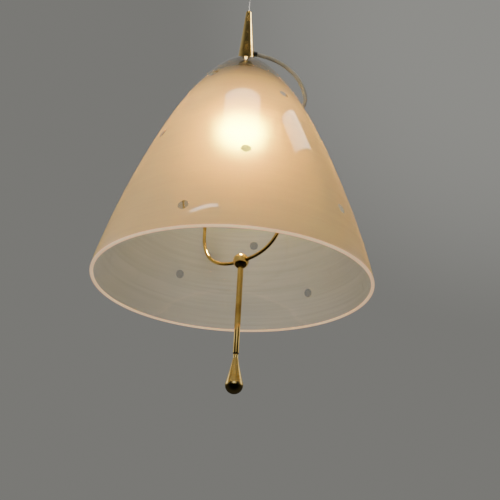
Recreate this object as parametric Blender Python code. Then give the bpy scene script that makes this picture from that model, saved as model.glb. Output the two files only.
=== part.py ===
"""Pendant lamp with a bell-shaped opal glass shade and brass fittings, hung on a steel wire.

Units are metres. The origin is the middle of the ceiling plate's flat top, +Z is up, and
everything hangs below it. Heights named H_ are measured up from the plane of the shade's rim.
"""

import math

import bmesh
import bpy
from mathutils import Matrix, Vector

MM = 0.001
GAP = 0.3 * MM                      # clearance between touching solids

# Driving dimensions
DROP_TO_RIM = 575 * MM              # ceiling face to the shade's rim
RIM_R = 190 * MM                    # outer radius of the glass at its rim
SHADE_H = 384 * MM                  # height of the outer glass surface
GLASS_T = 5 * MM                    # wall at the rim
CURVE_A, CURVE_B = 1.115, 0.59      # exponents of the bell curve
SHADE_HOLE_R = 6.5 * MM

WIRE_R = 1.0 * MM                   # suspension wire
TUBE_R, TUBE_BORE_R = 5.0 * MM, 3.6 * MM
CONE_FOOT_R, CONE_TIP_R = 13.75 * MM, 4.5 * MM
CONE_WALL = 0.9 * MM
H_CONE_FOOT, H_CONE_TIP = 380.7 * MM, 483 * MM

LEAD_R = 3.25 * MM                  # sheathed power lead
LEAD_AZ = math.radians(100)         # direction in which it leaves, from the front towards +X
H_LEAD = 400 * MM

BOW_WIRE_R = 2.5 * MM
BOW_HALF = 73 * MM                  # half the width of the handle bow
BOW_DEPTH = 58 * MM                 # depth of its rounded bottom
BOW_POWER = 2.4                     # 2 would be an ellipse; more is squarer
BOW_TURN = math.radians(-42)        # the bow's plane, from +X
BOW_LUG = 29 * MM                   # its ends in the carrier plate, from the axis
H_BOW = 39 * MM                     # middle of the bow's wire at its lowest point
BOW_LEAN = 10 * MM                  # the hand-bent bow leans: its lowest point lies this far to +X
H_BOW_LEVEL = 303 * MM              # its shoulders, below which it leans
BALL_R = 11 * MM
ROD_R = 4 * MM
H_ROD_END, H_DROP_TOP, H_DROP_END = -92.6 * MM, -98 * MM, -145 * MM
DROP_R, DROP_NECK_R = 11.7 * MM, 3.3 * MM

BULB_R = 30 * MM
H_BULB = 255 * MM                   # middle of the bulb's sphere

COIL_R = 36 * MM                    # stowed lead: middle of the ring of turns
COIL_BUNDLE_R = 10.1 * MM
COIL_CENTRE = Vector((0.0, 0.1402, -0.3705))
COIL_NORMAL = Vector((0.0, 0.930, 0.368))     # away from the glass
COIL_UP = Vector((0.0, -0.368, 0.930))        # up along the glass

# The lead's route in metres, chosen by hand: out of the cone, over the shoulder, to the coil.
LEAD_RUN = [
    (0.0176, 0.0031, -0.1750), (0.0256, 0.0045, -0.1762), (0.0384, 0.0068, -0.1785),
    (0.0501, 0.0093, -0.1820), (0.0618, 0.0120, -0.1875), (0.0725, 0.0148, -0.1950),
    (0.0822, 0.0175, -0.2045), (0.0892, 0.0206, -0.2150), (0.0941, 0.0235, -0.2260),
    (0.0968, 0.0262, -0.2368), (0.0957, 0.0298, -0.2470), (0.0912, 0.0345, -0.2560),
    (0.0855, 0.0408, -0.2638), (0.0800, 0.0490, -0.2715), (0.0744, 0.0590, -0.2795),
    (0.0680, 0.0705, -0.2878), (0.0595, 0.0832, -0.2965), (0.0495, 0.0955, -0.3060),
    (0.0375, 0.1060, -0.3140), (0.0255, 0.1142, -0.3205),
]
# The end of the lead, from the coil down to the plug.
LEAD_TAIL = [
    (-0.0413, 0.1535, -0.3945), (-0.0415, 0.1555, -0.4010), (-0.0418, 0.1570, -0.4090),
    (-0.0420, 0.1588, -0.4190),
]
PLUG_AXIS = Vector((0.0, 0.2, -0.98)).normalized()
TIE_ANGLES = (-15, 240)             # where two ties close the coil, in degrees

RIM_Z = -DROP_TO_RIM


def clear_scene():
    for obj in list(bpy.data.objects):
        bpy.data.objects.remove(obj, do_unlink=True)


def z_at(h):
    """World height of a point h above the rim plane."""
    return RIM_Z + h


def material(name, colour, roughness, metallic=0.0, alpha=1.0):
    mat = bpy.data.materials.new(name)
    mat.use_nodes = True
    shader = mat.node_tree.nodes["Principled BSDF"]
    shader.inputs["Base Color"].default_value = (*colour, 1.0)
    shader.inputs["Roughness"].default_value = roughness
    shader.inputs["Metallic"].default_value = metallic
    shader.inputs["Alpha"].default_value = alpha
    return mat


def polished_brass(name):
    return material(name, (0.80, 0.56, 0.22), 0.12, 1.0)


def add_mesh(name, bm, mat, smooth_angle=35):
    bmesh.ops.recalc_face_normals(bm, faces=bm.faces)
    mesh = bpy.data.meshes.new(name)
    bm.to_mesh(mesh)
    bm.free()
    mesh.materials.append(mat)
    mesh.shade_smooth()
    mesh.set_sharp_from_angle(angle=math.radians(smooth_angle))
    obj = bpy.data.objects.new(name, mesh)
    bpy.context.collection.objects.link(obj)
    return obj


def turned(name, profile, mat, steps=24):
    """A solid of revolution about Z. profile is a closed outline of (radius, z) points;
    points on the axis become single vertices."""
    bm = bmesh.new()
    rings = []
    for radius, z in profile:
        if radius < 1e-7:
            rings.append([bm.verts.new((0, 0, z))])
        else:
            rings.append([
                bm.verts.new((radius * math.cos(a), radius * math.sin(a), z))
                for a in (2 * math.pi * k / steps for k in range(steps))
            ])
    for ring, following in zip(rings, rings[1:] + rings[:1]):
        for k in range(steps):
            corners = [ring[k % len(ring)], ring[(k + 1) % len(ring)],
                       following[(k + 1) % len(following)], following[k % len(following)]]
            face = list(dict.fromkeys(corners))
            if len(face) > 2:
                bm.faces.new(face)
    return add_mesh(name, bm, mat)


def collar(name, outer, inner, low, high, mat, steps=24):
    """A ring between two heights, whose outer and inner outlines are functions of the angle."""
    bm = bmesh.new()
    rings = []
    for outline, z in ((outer, low), (outer, high), (inner, high), (inner, low)):
        angles = [2 * math.pi * k / steps for k in range(steps)]
        rings.append([bm.verts.new((outline(a) * math.cos(a), outline(a) * math.sin(a), z))
                      for a in angles])
    for ring, following in zip(rings, rings[1:] + rings[:1]):
        for k in range(steps):
            n = (k + 1) % steps
            bm.faces.new((ring[k], ring[n], following[n], following[k]))
    return add_mesh(name, bm, mat, smooth_angle=20)


def circle(radius):
    return lambda angle: radius


def hexagon(across_flats):
    sixth = math.pi / 3
    return lambda angle: across_flats / 2 / math.cos((angle + sixth / 2) % sixth - sixth / 2)


def knurl(radius, depth):
    return lambda angle: radius + depth * math.cos(18 * angle)


def cylinder(name, radius, start, end, mat, steps=16):
    """A round bar between two points, turned a little so that its corners miss other corners."""
    start, end = Vector(start), Vector(end)
    bm = bmesh.new()
    bmesh.ops.create_cone(bm, cap_ends=True, segments=steps, radius1=radius, radius2=radius,
                          depth=(end - start).length)
    turn = Vector((0, 0, 1)).rotation_difference(end - start).to_matrix().to_4x4()
    turn = turn @ Matrix.Rotation(math.radians(4), 4, "Z")
    bmesh.ops.transform(bm, verts=bm.verts, matrix=Matrix.Translation((start + end) / 2) @ turn)
    return add_mesh(name, bm, mat)


def prism(name, outline, thickness_vector, mat):
    """A flat outline of 3-D points pushed along a vector."""
    bm = bmesh.new()
    bottom = bm.faces.new([bm.verts.new(p) for p in outline])
    top = bmesh.ops.extrude_face_region(bm, geom=[bottom])
    moved = [v for v in top["geom"] if isinstance(v, bmesh.types.BMVert)]
    bmesh.ops.translate(bm, verts=moved, vec=thickness_vector)
    return add_mesh(name, bm, mat)


def tube(name, points, radius, mat, resolution=2):
    """A round wire or lead through the points, with closed ends."""
    curve = bpy.data.curves.new(name, "CURVE")
    curve.dimensions = "3D"
    curve.bevel_depth = radius
    curve.bevel_resolution = resolution
    curve.use_fill_caps = True
    spline = curve.splines.new("POLY")
    spline.points.add(len(points) - 1)
    for point, place in zip(spline.points, points):
        point.co = (*place, 1.0)
    curve.materials.append(mat)
    obj = bpy.data.objects.new(name, curve)
    bpy.context.collection.objects.link(obj)
    return obj


def smooth_route(points, spacing):
    """Points about one spacing apart on a smooth curve through the given points."""
    points = [Vector(p) for p in points]
    ends = [2 * points[0] - points[1], *points, 2 * points[-1] - points[-2]]
    route = []
    for before, a, b, after in zip(ends, ends[1:], ends[2:], ends[3:]):
        parts = max(1, round((b - a).length / spacing))
        for k in range(parts):
            t = k / parts
            route.append(0.5 * (2 * a + (b - before) * t + (2 * before - 5 * a + 4 * b - after) * t**2
                                + (3 * a - before - 3 * b + after) * t**3))
    return [*route, points[-1]]


def cut(obj, *cutters):
    for cutter in cutters:
        cutter.hide_render = True
        cutter.display_type = "WIRE"
        modifier = obj.modifiers.new(cutter.name, "BOOLEAN")
        modifier.operation = "DIFFERENCE"
        modifier.object = cutter


def moved(obj, offset):
    obj.data.transform(Matrix.Translation(offset))
    return obj


def pivot(name, place, parent=None):
    """An empty on a joint's axis, which carries the pieces that the joint moves."""
    empty = bpy.data.objects.new(name, None)
    bpy.context.collection.objects.link(empty)
    empty.empty_display_size = 0.02
    empty["place"] = place
    base = Vector(parent["place"]) if parent else Vector((0, 0, 0))
    empty.parent = parent
    empty.location = Vector(place) - base
    return empty


def hang(obj, parent):
    """Parents a piece, whose mesh is in world coordinates, to a pivot without moving it."""
    obj.parent = parent
    obj.location = -Vector(parent["place"])


def sideways(azimuth, distance, h=0.0):
    """A world point at an azimuth from the front (-Y) towards +X."""
    return Vector((distance * math.sin(azimuth), -distance * math.cos(azimuth), z_at(h)))


def bell_radius(h, rim, height):
    return rim * (1 - (h / height) ** CURVE_A) ** CURVE_B


def bell_line(rim, height, hole, count):
    """(radius, z) points of one glass surface, from the rim up to the hole."""
    top = height * (1 - (hole / rim) ** (1 / CURVE_B)) ** (1 / CURVE_A)
    last = math.asin(top / height)
    heights = [height * math.sin(last * k / count) for k in range(count + 1)]
    return [(bell_radius(h, rim, height), z_at(h)) for h in heights]


# --- Ceiling fitting ---------------------------------------------------------------------

def ceiling_fitting():
    brass = polished_brass("ceiling_brass")
    steel = material("screw_steel", (0.62, 0.62, 0.60), 0.3, 1.0)
    none = material("cutter", (0.5, 0.5, 0.5), 0.5)
    plate = turned("ceiling_plate", [
        (0, 0), (28 * MM, 0), (28 * MM, -3.5 * MM), (7.5 * MM, -3.5 * MM), (7.5 * MM, -13 * MM),
        (4.3 * MM, -13 * MM), (4.3 * MM, -4.5 * MM), (0, -4.5 * MM),
    ], brass)
    for number, x in enumerate((-19 * MM, 19 * MM), 1):
        cut(plate, cylinder(f"plate_hole_{number}", 2.4 * MM, (x, 0, -5 * MM), (x, 0, MM), none))
        moved(turned(f"ceiling_screw_{number}", [
            (0, -0.3 * MM), (2.1 * MM, -0.3 * MM), (2.1 * MM, -3.8 * MM), (4 * MM, -3.8 * MM),
            (3.6 * MM, -5.6 * MM), (2 * MM, -6.3 * MM), (0, -6.3 * MM),
        ], steel, 20), (x, 0, 0))
    turned("ceiling_cap", [
        (31 * MM, -0.6 * MM), (31 * MM, -15 * MM), (29.6 * MM, -19.5 * MM), (26 * MM, -23 * MM),
        (20 * MM, -25.2 * MM), (12 * MM, -26 * MM), (4.8 * MM, -26 * MM), (4.8 * MM, -24.8 * MM),
        (12 * MM, -24.8 * MM), (19.6 * MM, -24 * MM), (25 * MM, -22 * MM), (28.5 * MM, -18.7 * MM),
        (29.8 * MM, -14.6 * MM), (29.8 * MM, -0.6 * MM),
    ], brass, 32)
    gripper = turned("wire_gripper", [
        (1.4 * MM, -8 * MM), (3.95 * MM, -8 * MM), (3.95 * MM, -26.3 * MM), (7 * MM, -26.3 * MM),
        (7 * MM, -33 * MM), (4.2 * MM, -38 * MM), (1.4 * MM, -38 * MM),
    ], brass)
    side = -30 * MM
    cut(gripper, cylinder("gripper_hole", 1.6 * MM, (2.2 * MM, 0, side), (9 * MM, 0, side), none))
    cylinder("gripper_screw", 1.25 * MM, (2.6 * MM, 0, side), (6.9 * MM, 0, side), steel, 12)


# --- Wire, nipple, hanger and cone ---------------------------------------------------------

H_NIPPLE_TOP = 413.6 * MM
SWING_Z = -38 * MM                  # where the wire leaves the gripper


def suspension(wire_pivot):
    steel = material("wire_steel", (0.66, 0.65, 0.62), 0.25, 1.0)
    brass = polished_brass("nipple_brass")
    low, high = z_at(H_NIPPLE_TOP) + GAP, SWING_Z - GAP
    count = 24
    line = [(0, 0, high + (low - high) * k / count) for k in range(count + 1)]
    hang(tube("suspension_wire", line, WIRE_R, steel), wire_pivot)
    hang(turned("wire_nipple", [
        (0, z_at(H_NIPPLE_TOP)), (4.5 * MM, z_at(H_NIPPLE_TOP)), (4.5 * MM, z_at(408 * MM)),
        (3.6 * MM, z_at(406.9 * MM)), (0, z_at(406.9 * MM)),
    ], brass, 24), wire_pivot)


def hanger(lamp):
    brass = polished_brass("hanger_brass")
    none = bpy.data.materials["cutter"]
    body = collar("hanger_body", hexagon(15 * MM), circle(5.35 * MM),
                  z_at(386.4 * MM), z_at(406 * MM), brass)
    hang(body, lamp)
    side_hole = cylinder("gland_hole", 4.4 * MM, sideways(LEAD_AZ, 2 * MM, H_LEAD),
                         sideways(LEAD_AZ, 14 * MM, H_LEAD), none)
    hang(side_hole, lamp)
    cut(body, side_hole)
    hexa = hexagon(13 * MM)
    cap = collar("hanger_cap", hexa, circle(1.5 * MM), z_at(406.3 * MM), z_at(417 * MM), brass)
    chamber = cylinder("nipple_chamber", 4.85 * MM, (0, 0, z_at(405 * MM)),
                       (0, 0, z_at(414 * MM)), none)
    hang(chamber, lamp)
    cut(cap, chamber)
    hang(cap, lamp)


def arch(name, width, low, crown, near, far, mat):
    """A round-topped opening's cutter, lying along the lead's direction."""
    along = Vector((math.sin(LEAD_AZ), -math.cos(LEAD_AZ), 0))
    across = Vector((-along.y, along.x, 0))
    half = width / 2
    outline = [along * near + across * side * half + Vector((0, 0, low)) for side in (-1, 1)]
    for k in range(9):
        a = math.pi * k / 8
        outline.append(along * near + across * half * math.cos(a)
                       + Vector((0, 0, crown - half + half * math.sin(a))))
    return prism(name, outline, along * (far - near), mat)


def cone(cone_pivot):
    brass = polished_brass("cone_brass")
    none = bpy.data.materials["cutter"]
    foot, tip = z_at(H_CONE_FOOT), z_at(H_CONE_TIP)
    hole = 1.6 * MM
    cover = turned("cone_cover", [
        (CONE_FOOT_R, foot), (CONE_TIP_R + 0.2 * MM, tip - 1.2 * MM), (CONE_TIP_R - 0.6 * MM, tip),
        (hole, tip), (hole, tip - 3.5 * MM), (CONE_TIP_R - CONE_WALL, tip - 3.5 * MM),
        (CONE_FOOT_R - CONE_WALL, foot),
    ], brass, 36)
    slot = arch("cone_slot", 9.4 * MM, z_at(378 * MM), z_at(404.9 * MM), 6 * MM, 20 * MM, none)
    hang(slot, cone_pivot)
    cut(cover, slot)
    hang(cover, cone_pivot)


# --- Glass and its clamping ----------------------------------------------------------------

def shade(lamp):
    opal = material("opal_glass", (0.86, 0.78, 0.66), 0.08, 0.0, 0.6)
    outer = bell_line(RIM_R, SHADE_H, SHADE_HOLE_R, 17)
    inner = bell_line(RIM_R - GLASS_T, SHADE_H - GLASS_T, SHADE_HOLE_R, 15)
    half = GLASS_T / 2
    lip = [(RIM_R - half - half * math.cos(a), z_at(-half * math.sin(a)))
           for a in (math.pi * k / 5 for k in range(1, 5))]
    hang(turned("glass_shade", lip + outer + inner[::-1], opal, 60), lamp)


def clamping(lamp):
    rubber = material("washer_rubber", (0.03, 0.03, 0.03), 0.7)
    steel = material("clamp_steel", (0.60, 0.60, 0.58), 0.3, 1.0)
    brass = polished_brass("tube_brass")
    bore, edge = 5.35 * MM, 12 * MM
    hang(turned("upper_washer", [
        (bore, z_at(383.5 * MM)), (edge, z_at(381.2 * MM)), (edge, z_at(386 * MM)),
        (bore, z_at(386 * MM)),
    ], rubber), lamp)
    hang(turned("lower_washer", [
        (bore, z_at(372.6 * MM)), (edge, z_at(372.6 * MM)), (edge, z_at(375.2 * MM)),
        (bore, z_at(377.3 * MM)),
    ], rubber), lamp)
    hang(collar("clamp_washer", circle(11 * MM), circle(bore), z_at(370.3 * MM),
                z_at(372.3 * MM), steel), lamp)
    hang(collar("clamp_nut", hexagon(16 * MM), circle(bore), z_at(363.8 * MM),
                z_at(370 * MM), steel), lamp)
    hang(collar("threaded_tube", circle(TUBE_R), circle(TUBE_BORE_R), z_at(346 * MM),
                z_at(394 * MM), brass), lamp)


# --- Lampholder ------------------------------------------------------------------------------

def lampholder(lamp):
    brass = polished_brass("holder_brass")
    porcelain = material("porcelain", (0.88, 0.86, 0.80), 0.35)
    contact = material("contact_brass", (0.72, 0.55, 0.30), 0.3, 1.0)
    steel = bpy.data.materials["clamp_steel"]
    none = bpy.data.materials["cutter"]
    cap = turned("lampholder_cap", [
        (22.6 * MM, z_at(326.3 * MM)), (22.6 * MM, z_at(337 * MM)), (21.2 * MM, z_at(343 * MM)),
        (17 * MM, z_at(348 * MM)), (10 * MM, z_at(351 * MM)), (8 * MM, z_at(352 * MM)),
        (8 * MM, z_at(357 * MM)), (5.35 * MM, z_at(357 * MM)), (5.35 * MM, z_at(349 * MM)),
        (9.5 * MM, z_at(349 * MM)), (16 * MM, z_at(346.2 * MM)), (19.4 * MM, z_at(342 * MM)),
        (20.4 * MM, z_at(336.6 * MM)), (20.4 * MM, z_at(326.3 * MM)),
    ], brass)
    hang(cap, lamp)
    side = z_at(354.5 * MM)
    grub_hole = cylinder("grub_hole", 1.7 * MM, (3 * MM, 0, side), (10 * MM, 0, side), none, 12)
    hang(grub_hole, lamp)
    cut(cap, grub_hole)
    hang(cylinder("holder_grub_screw", 1.35 * MM, (5.4 * MM, 0, side), (9.2 * MM, 0, side),
                  steel, 12), lamp)
    hang(turned("lampholder_skirt", [
        (15 * MM, z_at(300 * MM)), (16 * MM, z_at(299 * MM)), (19 * MM, z_at(299 * MM)),
        (19.5 * MM, z_at(300 * MM)), (19.5 * MM, z_at(321.5 * MM)), (23 * MM, z_at(321.5 * MM)),
        (23 * MM, z_at(326 * MM)), (15 * MM, z_at(326 * MM)),
    ], brass), lamp)
    hang(collar("lampholder_insert", circle(16.8 * MM), circle(4 * MM), z_at(333.5 * MM),
                z_at(343 * MM), porcelain), lamp)
    strip_half = 2 * MM
    bend = [(-9, 333.2), (-9, 332.7), (-3, 332.7), (-1.5, 330.7), (3, 330.7), (3, 331.2),
            (-1.2, 331.2), (-2.7, 333.2)]
    outline = [(x * MM, -strip_half, z_at(h * MM)) for x, h in bend]
    hang(prism("centre_contact", outline, (0, 2 * strip_half, 0), contact), lamp)
    for number, sign in enumerate((-1, 1), 1):
        near, far = sign * 13.9 * MM, sign * 14.4 * MM
        low, high = z_at(314 * MM), z_at(333.2 * MM)
        corners = [(near, -strip_half, low), (far, -strip_half, low), (far, -strip_half, high),
                   (near, -strip_half, high)]
        hang(prism(f"side_contact_{number}", corners, (0, 2 * strip_half, 0), contact), lamp)
        head = turned(f"terminal_screw_{number}", [
            (0, z_at(343.3 * MM)), (2.3 * MM, z_at(343.3 * MM)), (2.3 * MM, z_at(344.6 * MM)),
            (1.6 * MM, z_at(345.2 * MM)), (0, z_at(345.2 * MM)),
        ], steel, 16)
        hang(moved(head, (sign * 9 * MM, 0, 0)), lamp)


def inner_cores(lamp):
    """The lead's two conductors, from the gland down the tube to the lampholder."""
    core = material("core_sheath", (0.45, 0.24, 0.10), 0.5)
    along = Vector((math.sin(LEAD_AZ), -math.cos(LEAD_AZ), 0))
    across = Vector((-along.y, along.x, 0)) * 1.3 * MM
    for number, sign in enumerate((-1, 1), 1):
        line = [(4.4, 400), (3.2, 399.8), (2.0, 398.8), (1.2, 396.8), (0.8, 394), (0.5, 388),
                (0.4, 375), (0.4, 360), (0.4, 348)]
        points = [along * d * MM + across * sign + Vector((0, 0, z_at(h * MM))) for d, h in line]
        hang(tube(f"inner_core_{number}", smooth_route(points, 3 * MM), 0.9 * MM, core), lamp)


# --- Bow, its carrier and the hanging handle ----------------------------------------------------

def bow_direction():
    return Vector((math.cos(BOW_TURN), math.sin(BOW_TURN), 0))


def bow_lean(h):
    """How far the bow stands to +X at a height, because it leans from its shoulders down."""
    return Vector((BOW_LEAN * max(0.0, (H_BOW_LEVEL - h) / (H_BOW_LEVEL - H_BOW)), 0, 0))


def bow_line():
    """Half of the bow's centre line as (distance from the axis, height): the arm's end in the
    carrier plate, two bends, the straight arm, then a quarter of a squared ellipse."""
    bend, wide = 9 * MM, 33 * MM
    level = H_BOW_LEVEL
    line = [(BOW_LUG, 328 * MM)]
    for k in range(4):
        a = math.pi / 2 * k / 3
        line.append((BOW_LUG + bend - bend * math.cos(a), level + bend - bend * math.sin(a)))
    for k in range(7):
        a = math.pi / 2 * k / 6
        line.append((BOW_HALF - wide + wide * math.sin(a), level - wide + wide * math.cos(a)))
    line.append((BOW_HALF, 180 * MM))
    parts = 12
    for k in range(parts + 1):
        a = math.pi / 2 * k / parts
        line.append((BOW_HALF * math.cos(a) ** (2 / BOW_POWER) if k < parts else 0.0,
                     H_BOW + BOW_DEPTH * (1 - math.sin(a) ** (2 / BOW_POWER))))
    return line


def bow_and_carrier(lamp):
    brass = polished_brass("bow_brass")
    steel = bpy.data.materials["clamp_steel"]
    none = bpy.data.materials["cutter"]
    half, way = bow_line(), bow_direction()
    right = [way * d + bow_lean(h) + Vector((0, 0, z_at(h))) for d, h in half]
    left = [-way * d + bow_lean(h) + Vector((0, 0, z_at(h))) for d, h in half[-2::-1]]
    hang(tube("handle_bow", right + left, BOW_WIRE_R, brass, 2), lamp)

    plate = collar("bow_plate", circle(34 * MM), circle(19.8 * MM), z_at(318.9 * MM),
                   z_at(321.2 * MM), brass, 40)
    hang(plate, lamp)
    for k in range(8):
        turn = BOW_TURN + math.pi * k / 4
        radius, distance = (2.8 * MM, BOW_LUG) if k % 4 == 0 else (3.5 * MM, 27 * MM)
        x, y = distance * math.cos(turn), distance * math.sin(turn)
        hole = cylinder(f"plate_opening_{k}", radius, (x, y, z_at(317 * MM)),
                        (x, y, z_at(323 * MM)), none, 16)
        hang(hole, lamp)
        cut(plate, hole)
    nut_places = [(sign, low) for sign in (-1, 1) for low in (314.6 * MM, 321.5 * MM)]
    for number, (sign, low) in enumerate(nut_places, 1):
        nut = collar(f"bow_nut_{number}", hexagon(8 * MM), circle(2.8 * MM), z_at(low),
                     z_at(low + 4 * MM), steel, 24)
        hang(moved(nut, way * sign * BOW_LUG), lamp)
    hang(collar("lock_ring", knurl(23 * MM, 0.3 * MM), circle(19.9 * MM), z_at(312.6 * MM),
                z_at(318.6 * MM), brass, 36), lamp)


def handle(handle_pivot):
    brass = polished_brass("handle_brass")
    none = bpy.data.materials["cutter"]
    way = bow_direction()
    base = Vector(handle_pivot["place"])
    bm = bmesh.new()
    bmesh.ops.create_uvsphere(bm, u_segments=20, v_segments=12, radius=BALL_R)
    ball = add_mesh("handle_ball", bm, brass)
    ball.parent = handle_pivot
    wire_hole = cylinder("ball_wire_hole", BOW_WIRE_R + 0.55 * MM, base - way * 2 * BALL_R,
                         base + way * 2 * BALL_R, none)
    rod_hole = cylinder("ball_rod_hole", 2.4 * MM, base - Vector((0, 0, 4.6 * MM)),
                        base - Vector((0, 0, 2 * BALL_R)), none)
    for hole in (wire_hole, rod_hole):
        hang(hole, handle_pivot)
        cut(ball, hole)
    top = z_at(H_BOW - BALL_R)
    hang(moved(turned("handle_rod", [
        (0, top + 4.5 * MM), (2 * MM, top + 4.5 * MM), (2 * MM, top), (ROD_R, top),
        (ROD_R, z_at(H_ROD_END)), (1.8 * MM, z_at(H_ROD_END)),
        (1.8 * MM, z_at(H_ROD_END) - 7.5 * MM), (0, z_at(H_ROD_END) - 7.5 * MM),
    ], brass, 24), (BOW_LEAN, 0, 0)), handle_pivot)
    neck = z_at(H_ROD_END) - 0.4 * MM
    outline = [(0, neck - 8.3 * MM), (2.1 * MM, neck - 8.3 * MM), (2.1 * MM, neck),
               (DROP_NECK_R, neck)]
    count = 11
    outline += [drop_point(k / count) for k in range(count + 1)]
    hang(moved(turned("handle_drop", outline, brass), (BOW_LEAN, 0, 0)), handle_pivot)


def drop_point(t):
    """A tear's side from its shoulder (t = 0) to its lowest point (t = 1): nearly a cone, which
    ends in the ball that it touches."""
    centre, cone_share = H_DROP_END + DROP_R, 0.45
    touch = math.radians(15)
    if t < cone_share:
        s = t / cone_share
        swell = 0.85 * s + 0.15 * s * s
        low = centre + DROP_R * math.sin(touch)
        return (DROP_NECK_R + (DROP_R * math.cos(touch) - DROP_NECK_R) * swell,
                z_at(H_DROP_TOP + (low - H_DROP_TOP) * s))
    a = touch - (math.pi / 2 + touch) * (t - cone_share) / (1 - cone_share)
    return (DROP_R * math.cos(a) if t < 1 else 0.0, z_at(centre + DROP_R * math.sin(a)))


# --- Bulb ------------------------------------------------------------------------------------------

def bulb(bulb_pivot):
    glass = material("bulb_glass", (0.95, 0.93, 0.88), 0.3)
    nickel = material("cap_nickel", (0.72, 0.70, 0.66), 0.25, 1.0)
    black = material("cap_insulator", (0.02, 0.02, 0.02), 0.25)
    wire = material("filament_wire", (0.35, 0.33, 0.30), 0.4, 1.0)
    wall = 0.9 * MM

    def envelope(inset):
        radius = BULB_R - inset
        line = [(0, z_at(H_BULB) - radius)]
        for k in range(1, 10):
            a = math.radians(-90 + 125 * k / 9)
            line.append((radius * math.cos(a), z_at(H_BULB) + radius * math.sin(a)))
        for r, h in ((20.4, 280), (16.7, 288), (14.2, 296), (12.4, 302.5), (12.2, 310)):
            line.append((r * MM - inset, z_at(h * MM)))
        return line

    shell = turned("bulb_glass", envelope(0) + envelope(wall)[::-1], glass, 28)
    pieces = [shell]
    pieces.append(turned("bulb_cap", [
        (13.2 * MM, z_at(303.4 * MM)), (13.2 * MM, z_at(322.6 * MM)), (9.6 * MM, z_at(326.4 * MM)),
        (8.9 * MM, z_at(326 * MM)), (12.6 * MM, z_at(322.2 * MM)), (12.6 * MM, z_at(303.4 * MM)),
    ], nickel))
    pieces.append(turned("bulb_insulator", [
        (0, z_at(324.5 * MM)), (8.55 * MM, z_at(324.5 * MM)), (8.55 * MM, z_at(327 * MM)),
        (5.2 * MM, z_at(328.3 * MM)), (0, z_at(328.3 * MM)),
    ], black, 24))
    pieces.append(turned("bulb_tip", [
        (0, z_at(328.6 * MM)), (4.6 * MM, z_at(328.6 * MM)), (3.6 * MM, z_at(329.8 * MM)),
        (0, z_at(330.2 * MM)),
    ], nickel, 20))
    pieces.append(turned("bulb_stem", [
        (0, z_at(310 * MM)), (10.6 * MM, z_at(310 * MM)), (10.6 * MM, z_at(308.6 * MM)),
        (5.4 * MM, z_at(304 * MM)), (3 * MM, z_at(294 * MM)), (2.4 * MM, z_at(276 * MM)),
        (0, z_at(274 * MM)),
    ], glass, 20))
    arc = [(3.1, 0, 284), (6.5, 0, 274), (9, 0, 266)]
    for k in range(1, 12):
        a = math.radians(28 * k)
        arc.append((9 * math.cos(a), 9 * math.sin(a), 266))
    arc += [(6.6, -2.6, 274), (2.9, -1.4, 284)]
    points = [(x * MM, y * MM, z_at(h * MM)) for x, y, h in arc]
    pieces.append(tube("bulb_filament", points, 0.3 * MM, wire))
    for piece in pieces:
        hang(piece, bulb_pivot)


# --- Power lead ----------------------------------------------------------------------------------

def gland(lamp):
    black = material("gland_rubber", (0.03, 0.028, 0.026), 0.5)
    inner, outer = 5.2 * MM, 17.3 * MM
    bush = turned("lead_gland", [
        (1.9 * MM, inner), (4.0 * MM, inner), (4.0 * MM, 13 * MM), (3.9 * MM, outer),
        (1.9 * MM, outer),
    ], black, 24)
    along = Vector((math.sin(LEAD_AZ), -math.cos(LEAD_AZ), 0))
    turn = Vector((0, 0, 1)).rotation_difference(along).to_matrix().to_4x4()
    bush.data.transform(Matrix.Translation((0, 0, z_at(H_LEAD))) @ turn)
    hang(bush, lamp)


def coil_frame():
    """Matrix of the coil: its X across, its Y up along the glass, its Z away from the glass."""
    across = COIL_UP.cross(COIL_NORMAL).normalized()
    frame = Matrix((across, COIL_UP.normalized(), COIL_NORMAL.normalized())).transposed().to_4x4()
    frame.translation = COIL_CENTRE
    return frame


def lead(lamp):
    sheath = material("lead_sheath", (0.42, 0.34, 0.22), 0.5)
    tie = material("tie_strap", (0.05, 0.05, 0.05), 0.6)
    hang(tube("lead_run", smooth_route(LEAD_RUN, 9 * MM), LEAD_R, sheath, 3), lamp)
    hang(tube("lead_tail", LEAD_TAIL, LEAD_R, sheath, 3), lamp)
    section = 10
    ring = [(COIL_R + COIL_BUNDLE_R * math.cos(2 * math.pi * k / section),
             COIL_BUNDLE_R * math.sin(2 * math.pi * k / section)) for k in range(section)]
    coil = turned("lead_coil", ring, sheath, 32)
    coil.data.transform(coil_frame())
    hang(coil, lamp)
    inner = COIL_BUNDLE_R + 0.6 * MM
    for number, angle in enumerate(TIE_ANGLES, 1):
        strap = collar(f"coil_tie_{number}", circle(inner + 1.0 * MM), circle(inner),
                       -4 * MM, 4 * MM, tie, 20)
        around = Matrix.Rotation(math.radians(angle), 4, "Z")
        lay = Matrix.Translation((COIL_R, 0, 0)) @ Matrix.Rotation(math.pi / 2, 4, "X")
        strap.data.transform(coil_frame() @ around @ lay)
        hang(strap, lamp)


def rounded_section(half_width, half_depth, z, steps=20):
    """Points of a superellipse, the plug's cross-section at one station."""
    points = []
    for k in range(steps):
        a = 2 * math.pi * k / steps
        c, s = math.cos(a), math.sin(a)
        points.append((math.copysign(half_width * abs(c) ** 0.6, c),
                       math.copysign(half_depth * abs(s) ** 0.6, s), z))
    return points


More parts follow.
